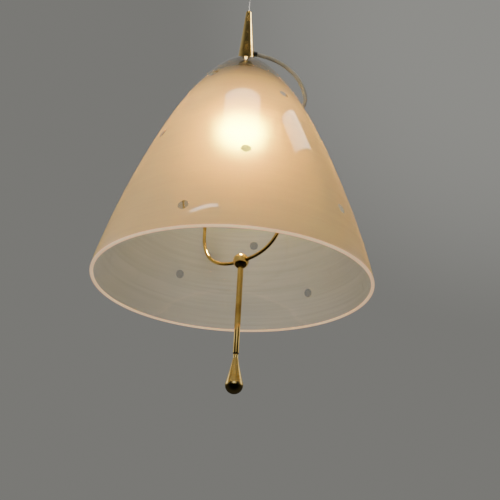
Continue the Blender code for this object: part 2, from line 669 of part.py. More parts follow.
def plug(lamp):
    black = material("plug_plastic", (0.04, 0.04, 0.04), 0.4)
    pin_metal = material("plug_pin", (0.75, 0.73, 0.68), 0.2, 1.0)
    start = Vector(LEAD_TAIL[-1])
    depth_way = PLUG_AXIS.cross(Vector((1, 0, 0))).normalized()
    frame = Matrix((Vector((1, 0, 0)), depth_way, PLUG_AXIS)).transposed().to_4x4()
    frame.translation = start
    stations = [(3.9, 3.9, 0.3), (4.6, 4.6, 12), (5.4, 5.0, 20), (7.0, 5.8, 24), (13.0, 6.6, 34),
                (17.3, 6.9, 43), (17.5, 6.9, 50), (16.6, 6.4, 52)]
    bm = bmesh.new()
    rings = [[bm.verts.new(p) for p in rounded_section(w * MM, d * MM, z * MM)]
             for w, d, z in stations]
    for ring, following in zip(rings, rings[1:]):
        for k in range(len(ring)):
            n = (k + 1) % len(ring)
            bm.faces.new((ring[k], ring[n], following[n], following[k]))
    bm.faces.new(rings[0])
    bm.faces.new(rings[-1])
    body = add_mesh("plug_body", bm, black)
    body.data.transform(frame)
    hang(body, lamp)
    for number, sign in enumerate((-1, 1), 1):
        pin = turned(f"plug_pin_{number}", [
            (0, 52.3 * MM), (2 * MM, 52.3 * MM), (2 * MM, 70 * MM), (1.4 * MM, 71.3 * MM),
            (0, 71.3 * MM),
        ], pin_metal, 16)
        moved(pin, (sign * 9.5 * MM, 0, 0))
        pin.data.transform(frame)
        hang(pin, lamp)


def main():
    clear_scene()
    wire_pivot = pivot("pivot_lamp_swing", (0, 0, SWING_Z))
    lamp = pivot("pivot_lamp_turn", (0, 0, z_at(410 * MM)), wire_pivot)
    cone_pivot = pivot("pivot_cone_lift", (0, 0, z_at(H_CONE_FOOT)), lamp)
    bulb_pivot = pivot("pivot_bulb_turn", (0, 0, z_at(H_BULB)), lamp)
    handle_pivot = pivot("pivot_handle_swing", (BOW_LEAN, 0, z_at(H_BOW)), lamp)

    ceiling_fitting()
    suspension(wire_pivot)
    hanger(lamp)
    cone(cone_pivot)
    shade(lamp)
    clamping(lamp)
    lampholder(lamp)
    inner_cores(lamp)
    bow_and_carrier(lamp)
    handle(handle_pivot)
    bulb(bulb_pivot)
    gland(lamp)
    lead(lamp)
    plug(lamp)


main()
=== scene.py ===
# %% [markdown]
# # A bell-shaped pendant lamp, one piece at a time
#
# The lamp hangs on a thin steel wire. A blown opal glass bell is clamped between two rubber
# washers under a brass cone, a power lead leaves the cone, and a brass handle hangs on a bow
# inside the bell. The working parts are already solid and in place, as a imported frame. This
# script puts a finely made piece with a real finish over almost every one of them. Everything
# is in metres, +Z is up, and the origin is the middle of the ceiling plate's flat top.

# %% The frame that the pieces are made around
import math

import bmesh
import bpy
from mathutils import Matrix, Vector


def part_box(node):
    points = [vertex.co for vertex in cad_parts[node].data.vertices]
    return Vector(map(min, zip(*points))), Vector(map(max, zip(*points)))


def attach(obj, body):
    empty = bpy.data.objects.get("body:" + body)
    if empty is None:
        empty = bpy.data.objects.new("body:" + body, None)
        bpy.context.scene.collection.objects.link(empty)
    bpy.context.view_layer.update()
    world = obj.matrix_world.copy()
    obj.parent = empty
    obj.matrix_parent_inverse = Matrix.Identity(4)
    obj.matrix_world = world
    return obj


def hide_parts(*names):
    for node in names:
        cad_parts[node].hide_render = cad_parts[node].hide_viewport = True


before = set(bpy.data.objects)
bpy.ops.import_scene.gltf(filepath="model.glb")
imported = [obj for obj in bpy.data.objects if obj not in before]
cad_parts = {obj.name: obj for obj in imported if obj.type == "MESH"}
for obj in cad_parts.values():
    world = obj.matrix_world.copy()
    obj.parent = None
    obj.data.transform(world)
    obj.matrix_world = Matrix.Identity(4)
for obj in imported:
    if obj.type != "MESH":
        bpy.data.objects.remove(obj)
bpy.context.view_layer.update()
MM = 0.001

# %% [markdown]
# ## Heights
#
# A lamp maker measures a shade up from its rim, because the rim is what the shade stands on
# at the bench. The same is done here: `up(h)` turns millimetres above the rim into a height
# in the frame. The rim is rounded, so its plane is half a wall above the lowest glass.

# %% Sizes of the bell, read from the frame
GLASS_T = 5 * MM
shade_low, shade_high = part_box("glass_shade")
RIM_R = shade_high.x
RIM_Z = shade_low.z + GLASS_T / 2
BELL_H = 384 * MM
CURVE_A, CURVE_B = 1.115, 0.59
HOLE_R = 6.5 * MM
AROUND, OUTER_ROWS, INNER_ROWS = 480, 124, 46


def up(h):
    """World height of a point h millimetres above the rim."""
    return RIM_Z + h * MM


def bell_radius(height):
    """Radius of the bell's outside at a height above the rim."""
    return RIM_R * (1 - (height / BELL_H) ** CURVE_A) ** CURVE_B


print(f"rim radius {RIM_R / MM:.1f} mm at z {RIM_Z:.4f}, bell {BELL_H / MM:.0f} mm tall")

# %% [markdown]
# ## Camera
#
# The lamp is looked at from below the rim, a little less than a metre away, with the camera
# tipped up by about 24 degrees and rolled by 3. That shows the glass's outside and, under the
# near lip, the inside of its far wall.

# %% Camera
CAMERA_AT = (0.0216, -0.8834, -0.9197)
TIP_UP, ROLL = math.radians(24.425), math.radians(2.902)
camera_data = bpy.data.cameras.new("camera")
camera_data.sensor_width = 36
camera_data.lens = 50.4
camera_data.clip_start = 0.05
camera = bpy.data.objects.new("camera", camera_data)
camera.matrix_world = (Matrix.Translation(CAMERA_AT)
                       @ Matrix.Rotation(math.pi / 2 + TIP_UP, 4, "X")
                       @ Matrix.Rotation(ROLL, 4, "Z"))
bpy.context.scene.collection.objects.link(camera)
bpy.context.scene.camera = camera
print(f"camera {camera.location.length:.2f} m from the ceiling plate")

# %% [markdown]
# ## Two helpers for node trees
#
# Shader trees and geometry trees are wired the same way: add a node, set some of its sockets
# and link the others. `place` does that in one call, and `maths` writes a sum or a power as
# one short line, so that the rules of each tree stay readable.


# %% Node helpers
def set_socket(tree, socket, value):
    """Links the socket if the value is another node's socket, and sets its number if not."""
    if isinstance(value, bpy.types.NodeSocket):
        tree.links.new(value, socket)
    else:
        socket.default_value = value


def place(tree, kind, sockets=None, **settings):
    """Adds a node. sockets gives its inputs, by name or number, a value or a link."""
    made = tree.nodes.new(kind)
    for name, value in settings.items():
        setattr(made, name, value)
    for key, value in (sockets or {}).items():
        set_socket(tree, made.inputs[key], value)
    return made


def maths(tree, operation, *values, clamp=False):
    """A Math node's result."""
    made = place(tree, "ShaderNodeMath", operation=operation, use_clamp=clamp)
    for socket, value in zip(made.inputs, values):
        set_socket(tree, socket, value)
    return made.outputs[0]


def new_finish(name):
    """A material with only its output node, and the node."""
    mat = bpy.data.materials.new(name)
    mat.use_nodes = True
    mat.node_tree.nodes.clear()
    return mat, mat.node_tree, place(mat.node_tree, "ShaderNodeOutputMaterial")


def grain(tree, scale, stretch=(1, 1, 1), detail=3.0, roughness=0.5):
    """Noise in object space, denser along the axes that stretch names with larger numbers."""
    where = place(tree, "ShaderNodeTexCoord").outputs["Object"]
    scaled = place(tree, "ShaderNodeMapping", {"Vector": where, "Scale": stretch})
    return place(tree, "ShaderNodeTexNoise", {
        "Vector": scaled.outputs[0], "Scale": scale, "Detail": detail, "Roughness": roughness,
    }).outputs[0]


def between(tree, factor, low, high, start=0.3, end=0.7):
    """A number that goes from low to high as factor goes from start to end."""
    return place(tree, "ShaderNodeMapRange", {
        "Value": factor, "From Min": start, "From Max": end, "To Min": low, "To Max": high,
    }).outputs[0]


def ramp(tree, factor, *stops):
    """A colour read from stops of (position, colour)."""
    made = place(tree, "ShaderNodeValToRGB", {"Fac": factor})
    marks = made.color_ramp.elements
    while len(marks) < len(stops):
        marks.new(0.5)
    for mark, (position, colour) in zip(marks, stops):
        mark.position = position
        mark.color = (*colour, 1.0)
    return made.outputs[0]


def bumped(tree, height, strength, distance):
    """A normal that shows a small relief; distance is its depth in metres."""
    return place(tree, "ShaderNodeBump", {
        "Height": height, "Strength": strength, "Distance": distance,
    }).outputs[0]


print("node helpers ready")

# %% [markdown]
# ## Helpers for turned pieces
#
# Most of the brass is turned on a lathe, so one function does the same: it takes a closed
# outline of radii and heights and spins it. No turned edge is really sharp, so `eased` first
# replaces every corner of the outline by a small arc. Each piece is a closed solid.


# %% Turning helpers
def eased(outline, radius, parts=4):
    """The closed outline with its corners, except those on the axis, rounded off."""
    result = []
    for i, corner in enumerate(outline):
        corner = Vector(corner)
        to_before = Vector(outline[i - 1]) - corner
        to_after = Vector(outline[(i + 1) % len(outline)]) - corner
        if corner.x < 1e-7:
            result.append(corner)
            continue
        back = min(radius, 0.45 * to_before.length, 0.45 * to_after.length)
        start = corner + to_before.normalized() * back
        end = corner + to_after.normalized() * back
        for k in range(parts + 1):
            t = k / parts
            result.append(start * (1 - t) ** 2 + corner * 2 * t * (1 - t) + end * t ** 2)
    return result


def smoothed(obj, angle=40):
    """Smooth shading, with the edges that turn by more than the angle kept sharp."""
    obj.data.shade_smooth()
    obj.data.set_sharp_from_angle(angle=math.radians(angle))
    return obj


def finished_object(name, bm, mat):
    """A smoothly shaded mesh object at the origin, with its faces out."""
    bmesh.ops.remove_doubles(bm, verts=bm.verts, dist=1e-7)
    bmesh.ops.recalc_face_normals(bm, faces=bm.faces)
    mesh = bpy.data.meshes.new(name)
    bm.to_mesh(mesh)
    bm.free()
    mesh.materials.append(mat)
    obj = bpy.data.objects.new(name, mesh)
    bpy.context.scene.collection.objects.link(obj)
    return smoothed(obj)


def spun(name, outline, mat, steps=96, matrix=None, bend=None):
    """The closed outline of (radius, height) points turned about Z. bend(angle, radius, height)
    may return another radius. matrix then puts the piece in its place."""
    bm = bmesh.new()
    rings = []
    for radius, z in outline:
        if radius < 1e-7:
            rings.append([bm.verts.new((0, 0, z))] * steps)
            continue
        ring = []
        for k in range(steps):
            a = 2 * math.pi * k / steps
            r = bend(a, radius, z) if bend else radius
            ring.append(bm.verts.new((r * math.cos(a), r * math.sin(a), z)))
        rings.append(ring)
    for ring, following in zip(rings, rings[1:] + rings[:1]):
        for k in range(steps):
            n = (k + 1) % steps
            corners = dict.fromkeys((ring[k], ring[n], following[n], following[k]))
            if len(corners) > 2:
                bm.faces.new(list(corners))
    if matrix:
        bm.transform(matrix)
    return finished_object(name, bm, mat)


def placed_mm(points, base=RIM_Z):
    """Points of (radius, height) in millimetres, measured from a base height, in the frame."""
    return [(r * MM, base + h * MM) for r, h in points]


def outline_mm(points, easing=0.35, base=RIM_Z):
    """The same for a closed outline, whose corners are eased."""
    return eased(placed_mm(points, base), easing * MM)


def stand_for(obj, body, slot, *nodes):
    """Puts a finished piece on its body, in the place of the frame's own nodes if any."""
    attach(obj, body)
    if nodes:
        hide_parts(*nodes)
    print(f"{obj.name}: {len(obj.data.polygons)} faces on {body}")
    return obj


def turned_piece(name, points, mat, body, slot, node, easing=0.35, steps=96, matrix=None):
    """A turned piece in the place of a node, from an outline in millimetres above the rim."""
    made = spun(name, outline_mm(points, easing), mat, steps, matrix)
    return stand_for(made, body, slot, node)


print("turning helpers ready")

# %% [markdown]
# ## Helpers for wires and for drilled or filed pieces
#
# A wire or lead is a ring swept along its route. The ring's frame is carried along with the
# least turning, so that it doesn't twist at the bends, and a UV map is kept: around and along.
# Holes and slots are cut with Blender's exact Boolean, and pieces that are already right in
# the frame, such as nuts, are copied, merged and given a small bevel.


# %% Sweeping helper
def smooth_route(points, spacing):
    """Points about one spacing apart on a smooth curve through the given points."""
    points = [Vector(p) for p in points]
    ends = [2 * points[0] - points[1], *points, 2 * points[-1] - points[-2]]
    route = []
    for before, a, b, after in zip(ends, ends[1:], ends[2:], ends[3:]):
        parts = max(1, round((b - a).length / spacing))
        for k in range(parts):
            t = k / parts
            route.append(0.5 * (2 * a + (b - before) * t
                                + (2 * before - 5 * a + 4 * b - after) * t**2
                                + (3 * a - before - 3 * b + after) * t**3))
    return [*route, points[-1]]


def route_length(route):
    """Length of a line of points."""
    return sum((b - a).length for a, b in zip(route, route[1:]))


def swept(name, route, radius, mat, sides=24, section=None, round_ends=0.0):
    """A closed round bar along the route. section(angle, distance) may vary its radius, and
    round_ends is the length over which each end closes in."""
    bm = bmesh.new()
    uv = bm.loops.layers.uv.new("along")
    tangents = [(b - a).normalized() for a, b in zip(route, route[1:])]
    tangents = [tangents[0], *[(a + b).normalized() for a, b in zip(tangents, tangents[1:])],
                tangents[-1]]
    side = tangents[0].orthogonal().normalized()
    distance, total = 0.0, route_length(route)
    rings = []
    for i, (point, tangent) in enumerate(zip(route, tangents)):
        if i:
            distance += (point - route[i - 1]).length
            side = (side - tangent * side.dot(tangent)).normalized()
        up_side = tangent.cross(side)
        to_end = min(distance, total - distance)
        close = 1.0
        if round_ends and to_end < round_ends:
            close = math.sqrt(max(0.0, 1 - (1 - to_end / round_ends) ** 2)) * 0.9 + 0.1
        ring = []
        for k in range(sides):
            a = 2 * math.pi * k / sides
            r = (section(a, distance) if section else radius) * close
            ring.append(bm.verts.new(point + (side * math.cos(a) + up_side * math.sin(a)) * r))
        rings.append((ring, distance))
    for (ring, start), (following, end) in zip(rings, rings[1:]):
        for k in range(sides):
            n = (k + 1) % sides
            face = bm.faces.new((ring[k], ring[n], following[n], following[k]))
            places = ((k, start), (k + 1, start), (k + 1, end), (k, end))
            for loop, (around, along) in zip(face.loops, places):
                loop[uv].uv = (around / sides, along / (2 * math.pi * radius))
    bm.faces.new(rings[0][0][::-1])
    bm.faces.new(rings[-1][0])
    return finished_object(name, bm, mat)


print("sweeping helpers ready")


# %% Cutting and copying helpers
def bar(radius, start, end, steps=48):
    """A round cutter between two points."""
    start, end = Vector(start), Vector(end)
    bm = bmesh.new()
    turn = Vector((0, 0, 1)).rotation_difference(end - start).to_matrix().to_4x4()
    bmesh.ops.create_cone(bm, cap_ends=True, segments=steps, radius1=radius, radius2=radius,
                          depth=(end - start).length,
                          matrix=Matrix.Translation((start + end) / 2) @ turn)
    return finished_object("cutter", bm, None)


def applied(obj, *cutters):
    """Turns the piece's modifiers into plain mesh, and removes the cutters that they used."""
    graph = bpy.context.evaluated_depsgraph_get()
    mesh = bpy.data.meshes.new_from_object(obj.evaluated_get(graph))
    obj.modifiers.clear()
    obj.data = mesh
    for cutter in cutters:
        bpy.data.objects.remove(cutter, do_unlink=True)
    return obj


def cut(obj, *cutters):
    """The piece with the cutters taken out of it."""
    for cutter in cutters:
        modifier = obj.modifiers.new("cut", "BOOLEAN")
        modifier.operation = "DIFFERENCE"
        modifier.object = cutter
    return smoothed(applied(obj, *cutters))


def bevelled(obj, width):
    """The piece with its sharp edges rounded off."""
    modifier = obj.modifiers.new("edges", "BEVEL")
    modifier.width = width
    modifier.segments = 3
    modifier.limit_method = "ANGLE"
    modifier.angle_limit = math.radians(30)
    modifier.harden_normals = False
    return smoothed(applied(obj))


def copied(node, mat, bevel=0.25 * MM):
    """A merged copy of a frame node, with its edges eased, to stand for that node."""
    bm = bmesh.new()
    bm.from_mesh(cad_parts[node].data)
    bmesh.ops.remove_doubles(bm, verts=bm.verts, dist=1e-6)
    bmesh.ops.dissolve_limit(bm, angle_limit=math.radians(1), verts=bm.verts, edges=bm.edges)
    return bevelled(finished_object(f"{node}_fine", bm, mat), bevel)


print("cutting and copying helpers ready")

# %% [markdown]
# ## Finish: polished brass
#
# The fittings are turned brass, polished and lacquered years ago. Polished metal shows almost
# only what it reflects, so the colour is plain and the life is in the gloss: a slow drift from
# clean to slightly tarnished, fine turning marks round the piece, and a light haze of
# scratches. All of it is worked out from object coordinates, so it stays on the metal.


# %% Brass
def brass_finish(name, shift=0.0, turning=True, colour=(0.82, 0.59, 0.20)):
    mat, tree, out = new_finish(name)
    tarnish = grain(tree, 55.0 + shift, detail=4.0, roughness=0.6)
    specks = grain(tree, 900.0 + shift, detail=2.0)
    brown = tuple(c * k for c, k in zip(colour, (0.62, 0.52, 0.40)))
    warm = tuple(c * k for c, k in zip(colour, (0.93, 0.88, 0.78)))
    tint = ramp(tree, tarnish, (0.30, brown), (0.44, warm), (0.62, colour))
    lathe = grain(tree, 60.0, stretch=(1, 1, 90) if turning else (9, 9, 9), detail=2.0)
    scratch = grain(tree, 380.0, stretch=(1, 7, 1), detail=4.0)
    height = maths(tree, "MULTIPLY_ADD", lathe, 0.6, maths(tree, "MULTIPLY", scratch, 0.5))
    rough = maths(tree, "ADD", between(tree, tarnish, 0.17, 0.06, 0.32, 0.60),
                  between(tree, specks, 0.0, 0.05, 0.45, 0.75))
    shader = place(tree, "ShaderNodeBsdfPrincipled", {
        "Base Color": tint, "Metallic": 1.0, "Roughness": rough,
        "Normal": bumped(tree, height, 0.08, 0.03 * MM),
    })
    tree.links.new(shader.outputs[0], out.inputs[0])
    return mat


brass = brass_finish("polished_brass")
bright_brass = brass_finish("bright_brass", 12.0, colour=(0.90, 0.68, 0.26))
drawn_brass = brass_finish("drawn_brass", 5.0, turning=False)
print("three brasses: turned, bright and drawn")

# %% [markdown]
# ## Finish: steel, nickel and the plain parts
#
# Steel screws and nuts have a grey, slightly blurred gloss; the bulb's cap is thin nickelled
# brass; the washers and the gland are rubber, matt with a fine grain; the lampholder's insert
# is glazed porcelain; the plug is moulded black plastic. One function makes the metals and one
# the others, each with its own grain.


# %% Metals and plain finishes
def metal_finish(name, light, dark, gloss, scale=700.0):
    mat, tree, out = new_finish(name)
    stain = grain(tree, 120.0, detail=4.0)
    mark = grain(tree, scale, stretch=(1, 1, 4), detail=3.0)
    shader = place(tree, "ShaderNodeBsdfPrincipled", {
        "Base Color": ramp(tree, stain, (0.32, dark), (0.60, light)),
        "Metallic": 1.0,
        "Roughness": between(tree, mark, gloss, gloss + 0.16),
        "Normal": bumped(tree, mark, 0.15, 0.05 * MM),
    })
    tree.links.new(shader.outputs[0], out.inputs[0])
    return mat


def plain_finish(name, light, dark, gloss, scale, relief, coat=0.0):
    mat, tree, out = new_finish(name)
    cloud = grain(tree, 45.0, detail=3.0)
    fine = grain(tree, scale, detail=3.0)
    shader = place(tree, "ShaderNodeBsdfPrincipled", {
        "Base Color": ramp(tree, cloud, (0.30, dark), (0.66, light)),
        "Roughness": between(tree, fine, gloss - 0.07, gloss + 0.09),
        "Coat Weight": coat, "Coat Roughness": 0.06,
        "Normal": bumped(tree, fine, 0.5, relief * MM),
    })
    tree.links.new(shader.outputs[0], out.inputs[0])
    return mat


steel = metal_finish("steel", (0.62, 0.61, 0.59), (0.40, 0.39, 0.37), 0.24)
wire_steel = metal_finish("wire_steel", (0.86, 0.85, 0.83), (0.66, 0.65, 0.62), 0.34, 1500.0)
nickel = metal_finish("nickel", (0.76, 0.73, 0.67), (0.60, 0.57, 0.51), 0.14)
contact_brass = metal_finish("contact_brass", (0.72, 0.54, 0.28), (0.50, 0.36, 0.17), 0.28)
pin_metal = metal_finish("pin_nickel", (0.78, 0.76, 0.71), (0.60, 0.58, 0.53), 0.13)
rubber = plain_finish("rubber", (0.040, 0.038, 0.036), (0.022, 0.021, 0.020), 0.62, 1400, 0.05)
porcelain = plain_finish("porcelain", (0.86, 0.83, 0.76), (0.78, 0.74, 0.66), 0.30, 500, 0.01, 1.0)
insulator = plain_finish("cap_glass", (0.03, 0.03, 0.04), (0.015, 0.015, 0.02),
                         0.18, 600, 0.01, 1.0)
plug_plastic = plain_finish("plug_plastic", (0.045, 0.044, 0.043), (0.030, 0.029, 0.028),
                            0.40, 1600, 0.03)
tie_plastic = plain_finish("tie_plastic", (0.06, 0.06, 0.06), (0.04, 0.04, 0.04), 0.5, 1800, 0.04)
core_sheath = plain_finish("core_sheath", (0.42, 0.21, 0.09), (0.34, 0.16, 0.06), 0.42, 900, 0.01)
lead_sheath = plain_finish("lead_sheath", (0.42, 0.38, 0.30), (0.33, 0.30, 0.23), 0.46, 1100, 0.03)
print("five metals, seven plain finishes")

# %% [markdown]
# ## The power lead
#
# The lead is a round sheathed cable, 6.5 mm thick, that comes out of a slot in the cone, bends
# down over the shoulder of the glass and goes round behind. A lamp like this has about a metre
# and a half of lead. What isn't needed is wound into a neat coil behind the bell, closed by
# two ties, and ends in a two-pin plug. The coil's turns are worked out: each turn runs round a
# ring, and from turn to turn the lead moves 60 degrees round the middle of the bundle, so that
# six turns would lie round it like strands. The rest of the route is given as a list of points.

# %% The lead's route
LEAD_R = 3.25 * MM
COIL_R, BUNDLE_R = 36 * MM, 6.6 * MM
COIL_TURNS, TURN_POINTS = 5.25, 24
COIL_CENTRE = Vector((0.0, 0.1402, -0.3705))
COIL_NORMAL = Vector((0.0, 0.930, 0.368)).normalized()
COIL_UP = Vector((0.0, -0.368, 0.930)).normalized()
COIL_ACROSS = COIL_UP.cross(COIL_NORMAL).normalized()

LEAD_RUN = [
    (0.0176, 0.0031, -0.1750), (0.0256, 0.0045, -0.1762), (0.0384, 0.0068, -0.1785),
    (0.0501, 0.0093, -0.1820), (0.0618, 0.0120, -0.1875), (0.0725, 0.0148, -0.1950),
    (0.0822, 0.0175, -0.2045), (0.0892, 0.0206, -0.2150), (0.0941, 0.0235, -0.2260),
    (0.0968, 0.0262, -0.2368), (0.0957, 0.0298, -0.2470), (0.0912, 0.0345, -0.2560),
    (0.0855, 0.0408, -0.2638), (0.0800, 0.0490, -0.2715), (0.0744, 0.0590, -0.2795),
    (0.0680, 0.0705, -0.2878), (0.0595, 0.0832, -0.2965), (0.0495, 0.0955, -0.3060),
    (0.0375, 0.1060, -0.3140), (0.0255, 0.1142, -0.3205),
]
LEAD_TAIL = [
    (-0.0413, 0.1535, -0.3945), (-0.0415, 0.1555, -0.4010), (-0.0418, 0.1570, -0.4090),
    (-0.0420, 0.1588, -0.4190),
]


def coil_point(turns):
    """A point of the coil's winding, which starts at the top and heads to -X."""
    around = math.radians(90 - 360 * turns)
    within = math.radians(-60 * turns)
    radius = COIL_R + BUNDLE_R * math.cos(within)
    return (COIL_CENTRE + (COIL_ACROSS * math.cos(around) + COIL_UP * math.sin(around)) * radius
            + COIL_NORMAL * BUNDLE_R * math.sin(within))


coil = [coil_point(k / TURN_POINTS) for k in range(int(COIL_TURNS * TURN_POINTS) + 1)]
lead_route = smooth_route([*LEAD_RUN, *coil, *LEAD_TAIL], 2 * MM)

# %% The lead
power_lead = swept("power_lead", lead_route, LEAD_R, lead_sheath, sides=20)
stand_for(power_lead, "lamp", "lead_sheath", "lead_run", "lead_coil", "lead_tail")

# %% [markdown]
# ## The plug, its pins and the coil's ties
#
# The plug is moulded round the end of the lead: a tapered relief, a flat body and a lip to pull
# it by. Its cross-sections are superellipses, a shape between an ellipse and a rectangle, and
# the grip is a row of shallow ribs that swell and shrink the sections. The pins are turned,
# with a black collar of insulation at their root. The ties are plain straps round the bundle.

# %% Plug
PLUG_AXIS = Vector((0.0, 0.2, -0.98)).normalized()
plug_start = Vector(LEAD_TAIL[-1])
plug_frame = Matrix((Vector((1, 0, 0)), PLUG_AXIS.cross(Vector((1, 0, 0))).normalized(),
                     PLUG_AXIS)).transposed().to_4x4()
plug_frame.translation = plug_start
PLUG_LOW, PLUG_END, RING_STEP = 0.3, 52, 0.4
PLUG_STATIONS = [(PLUG_LOW, 3.85, 3.85), (12, 4.6, 4.6), (20, 5.4, 5.0), (24, 7.0, 5.8),
                 (34, 13.0, 6.6), (43, 17.3, 6.9), (50, 17.5, 6.9), (PLUG_END, 16.6, 6.4)]


def plug_half_sizes(z):
    """Half width and half depth of the plug at z millimetres along it, with its grip ribs."""
    for (z0, w0, d0), (z1, w1, d1) in zip(PLUG_STATIONS, PLUG_STATIONS[1:]):
        if z <= z1:
            t = (z - z0) / (z1 - z0)
            s = t * t * (3 - 2 * t)
            rib = 0.0
            if 2 < z < 18:
                rib = -0.35 * (0.5 - 0.5 * math.cos(2 * math.pi * (z - 2) / 4))
            elif 34 < z < 46:
                rib = -0.30 * (0.5 - 0.5 * math.cos(2 * math.pi * (z - 34) / 3))
            return w0 + (w1 - w0) * s + rib, d0 + (d1 - d0) * s + rib
    return PLUG_STATIONS[-1][1:]


def superellipse_ring(bm, half_width, half_depth, z, steps=72, power=0.6):
    """A ring of points on a superellipse, at z millimetres along the plug."""
    ring = []
    for k in range(steps):
        c, s = math.cos(2 * math.pi * k / steps), math.sin(2 * math.pi * k / steps)
        ring.append(bm.verts.new((math.copysign(half_width * abs(c) ** power, c) * MM,
                                  math.copysign(half_depth * abs(s) ** power, s) * MM, z * MM)))
    return ring


def plug_mesh():
    """The plug's skin of rings, with the last one drawn in."""
    bm = bmesh.new()
    count = int((PLUG_END - PLUG_LOW) / RING_STEP)
    heights = [PLUG_LOW + RING_STEP * k for k in range(count)]
    rings = [superellipse_ring(bm, *plug_half_sizes(z), z) for z in heights]
    rings.append(superellipse_ring(bm, 15.8, 5.6, PLUG_END))
    for ring, following in zip(rings, rings[1:]):
        for k in range(len(ring)):
            n = (k + 1) % len(ring)
            bm.faces.new((ring[k], ring[n], following[n], following[k]))
    bm.faces.new(rings[0])
    bm.faces.new(rings[-1])
    bm.transform(plug_frame)
    return finished_object("plug", bm, plug_plastic)


plug = stand_for(plug_mesh(), "lamp", "black_plastic", "plug_body")

# %% Pins
PIN_X = 9.5 * MM
PIN_OUTLINE = outline_mm([(0, 52.3), (2, 52.3), (2, 70), (1.4, 71.3), (0, 71.3)], 0.5, base=0)
SLEEVE_OUTLINE = outline_mm([(2.02, 52.1), (2.35, 52.1), (2.35, 59), (2.02, 59.4)], 0.1, base=0)
pins, collars = [], []
for number, side in enumerate((-1, 1), 1):
    at_pin = plug_frame @ Matrix.Translation((side * PIN_X, 0, 0))
    pin = spun(f"pin_{number}", PIN_OUTLINE, pin_metal, 48, at_pin)
    pins.append(stand_for(pin, "lamp", "nickel", f"plug_pin_{number}"))
    sleeve = spun(f"pin_sleeve_{number}", SLEEVE_OUTLINE, plug_plastic, 48, at_pin)
    collars.append(stand_for(sleeve, "lamp", "black_plastic"))

# %% Ties
TIE_ANGLES = (-15, 240)
TIE_R, TIE_WALL, TIE_HALF = 10.7 * MM, 1.0 * MM, 4 * MM
coil_frame = Matrix((COIL_ACROSS, COIL_UP, COIL_NORMAL)).transposed().to_4x4()
coil_frame.translation = COIL_CENTRE
for number, angle in enumerate(TIE_ANGLES, 1):
    lay = (coil_frame @ Matrix.Rotation(math.radians(angle), 4, "Z")
           @ Matrix.Translation((COIL_R, 0, 0)) @ Matrix.Rotation(math.pi / 2, 4, "X"))
    section = eased([(TIE_R, -TIE_HALF), (TIE_R + TIE_WALL, -TIE_HALF),
                     (TIE_R + TIE_WALL, TIE_HALF), (TIE_R, TIE_HALF)], 0.35 * MM)
    tie = spun(f"tie_{number}", section, tie_plastic, 64, lay)
    stand_for(tie, "lamp", "rubber", f"coil_tie_{number}")

# %% [markdown]
# ## The suspension wire
#
# A stranded steel wire, 2 mm thick, carries the whole lamp. It is taut, so its route is a
# straight line, and its look is in its strands: six of them twist round the middle. They are
# modelled as one skin whose radius dips a little between the strands, with the dips turning as the
# distance along the wire grows.

# %% The wire
WIRE_R = 1.0 * MM
STRANDS, LAY_LENGTH = 6, 14 * MM
wire_low, wire_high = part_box("suspension_wire")


def strand_section(angle, distance):
    """The wire's radius, which dips between its strands."""
    twist = STRANDS / 2 * (angle + 2 * math.pi * distance / LAY_LENGTH)
    return WIRE_R * (0.90 + 0.10 * abs(math.cos(twist)) ** 0.7)


wire_route = smooth_route([(0, 0, wire_high.z), (0, 0, wire_low.z)], 0.6 * MM)
wire = swept("steel_wire", wire_route, WIRE_R, wire_steel, sides=48, section=strand_section)
stand_for(wire, "wire", "steel", "suspension_wire")

# %% [markdown]
# ## Geometry Nodes: the bell
#
# The bell's outside follows one rule: at height h the radius is R(1 - (h/H)^a)^b. Geometry
# Nodes can hold such a rule with named inputs. A flat grid becomes the wall: one side of the
# grid runs round the bell and the other runs up it, and Set Position bends it into shape. The
# same group makes the outer wall and the inner one, a half-round lip joins them at the rim and
# a short collar joins them at the hole. Where the maker has ground a small lens into the
# glass, the wall is sunk by a shallow dish, and an attribute keeps how deep inside the lens
# each point is, for the material to read.


# %% Geometry tree helpers
def new_tree(name, inputs):
    """A geometry tree with named number inputs, the node of its inputs and their identifiers."""
    tree = bpy.data.node_groups.new(name, "GeometryNodeTree")
    tree.interface.new_socket(name="Geometry", in_out="OUTPUT", socket_type="NodeSocketGeometry")
    names = {}
    for label, value in inputs.items():
        kind = "NodeSocketInt" if isinstance(value, int) else "NodeSocketFloat"
        socket = tree.interface.new_socket(name=label, in_out="INPUT", socket_type=kind)
        socket.default_value = value
        names[label] = socket.identifier
    return tree, place(tree, "NodeGroupInput").outputs, names


def tree_output(tree, geometry, mat):
    """Ends a tree: real geometry with its material."""
    real = place(tree, "GeometryNodeRealizeInstances", {"Geometry": geometry})
    painted = place(tree, "GeometryNodeSetMaterial", {"Geometry": real.outputs[0]})
    painted.inputs["Material"].default_value = mat
    place(tree, "NodeGroupOutput", {"Geometry": painted.outputs[0]})


def grown(name, tree, names, values, smooth_angle=40):
    """The plain mesh that a tree grows with these input values."""
    obj = bpy.data.objects.new(name, bpy.data.meshes.new(name))
    bpy.context.scene.collection.objects.link(obj)
    modifier = obj.modifiers.new("grown", "NODES")
    modifier.node_group = tree
    for label, value in values.items():
        modifier[names[label]] = value
    return smoothed(applied(obj), smooth_angle)


def joined(tree, *geometries):
    """Several geometries as one, in the order given."""
    made = tree.nodes.new("GeometryNodeJoinGeometry")
    for geometry in reversed(geometries):
        tree.links.new(geometry, made.inputs[0])
    return made.outputs[0]


print("geometry tree helpers ready")


# %% One wall of the bell as a node group
def grid_position(tree):
    """The grid's own coordinates, each from 0 to 1."""
    where = place(tree, "GeometryNodeInputPosition").outputs[0]
    split = place(tree, "ShaderNodeSeparateXYZ", {0: where})
    return [maths(tree, "ADD", split.outputs[k], 0.5) for k in (0, 1)]


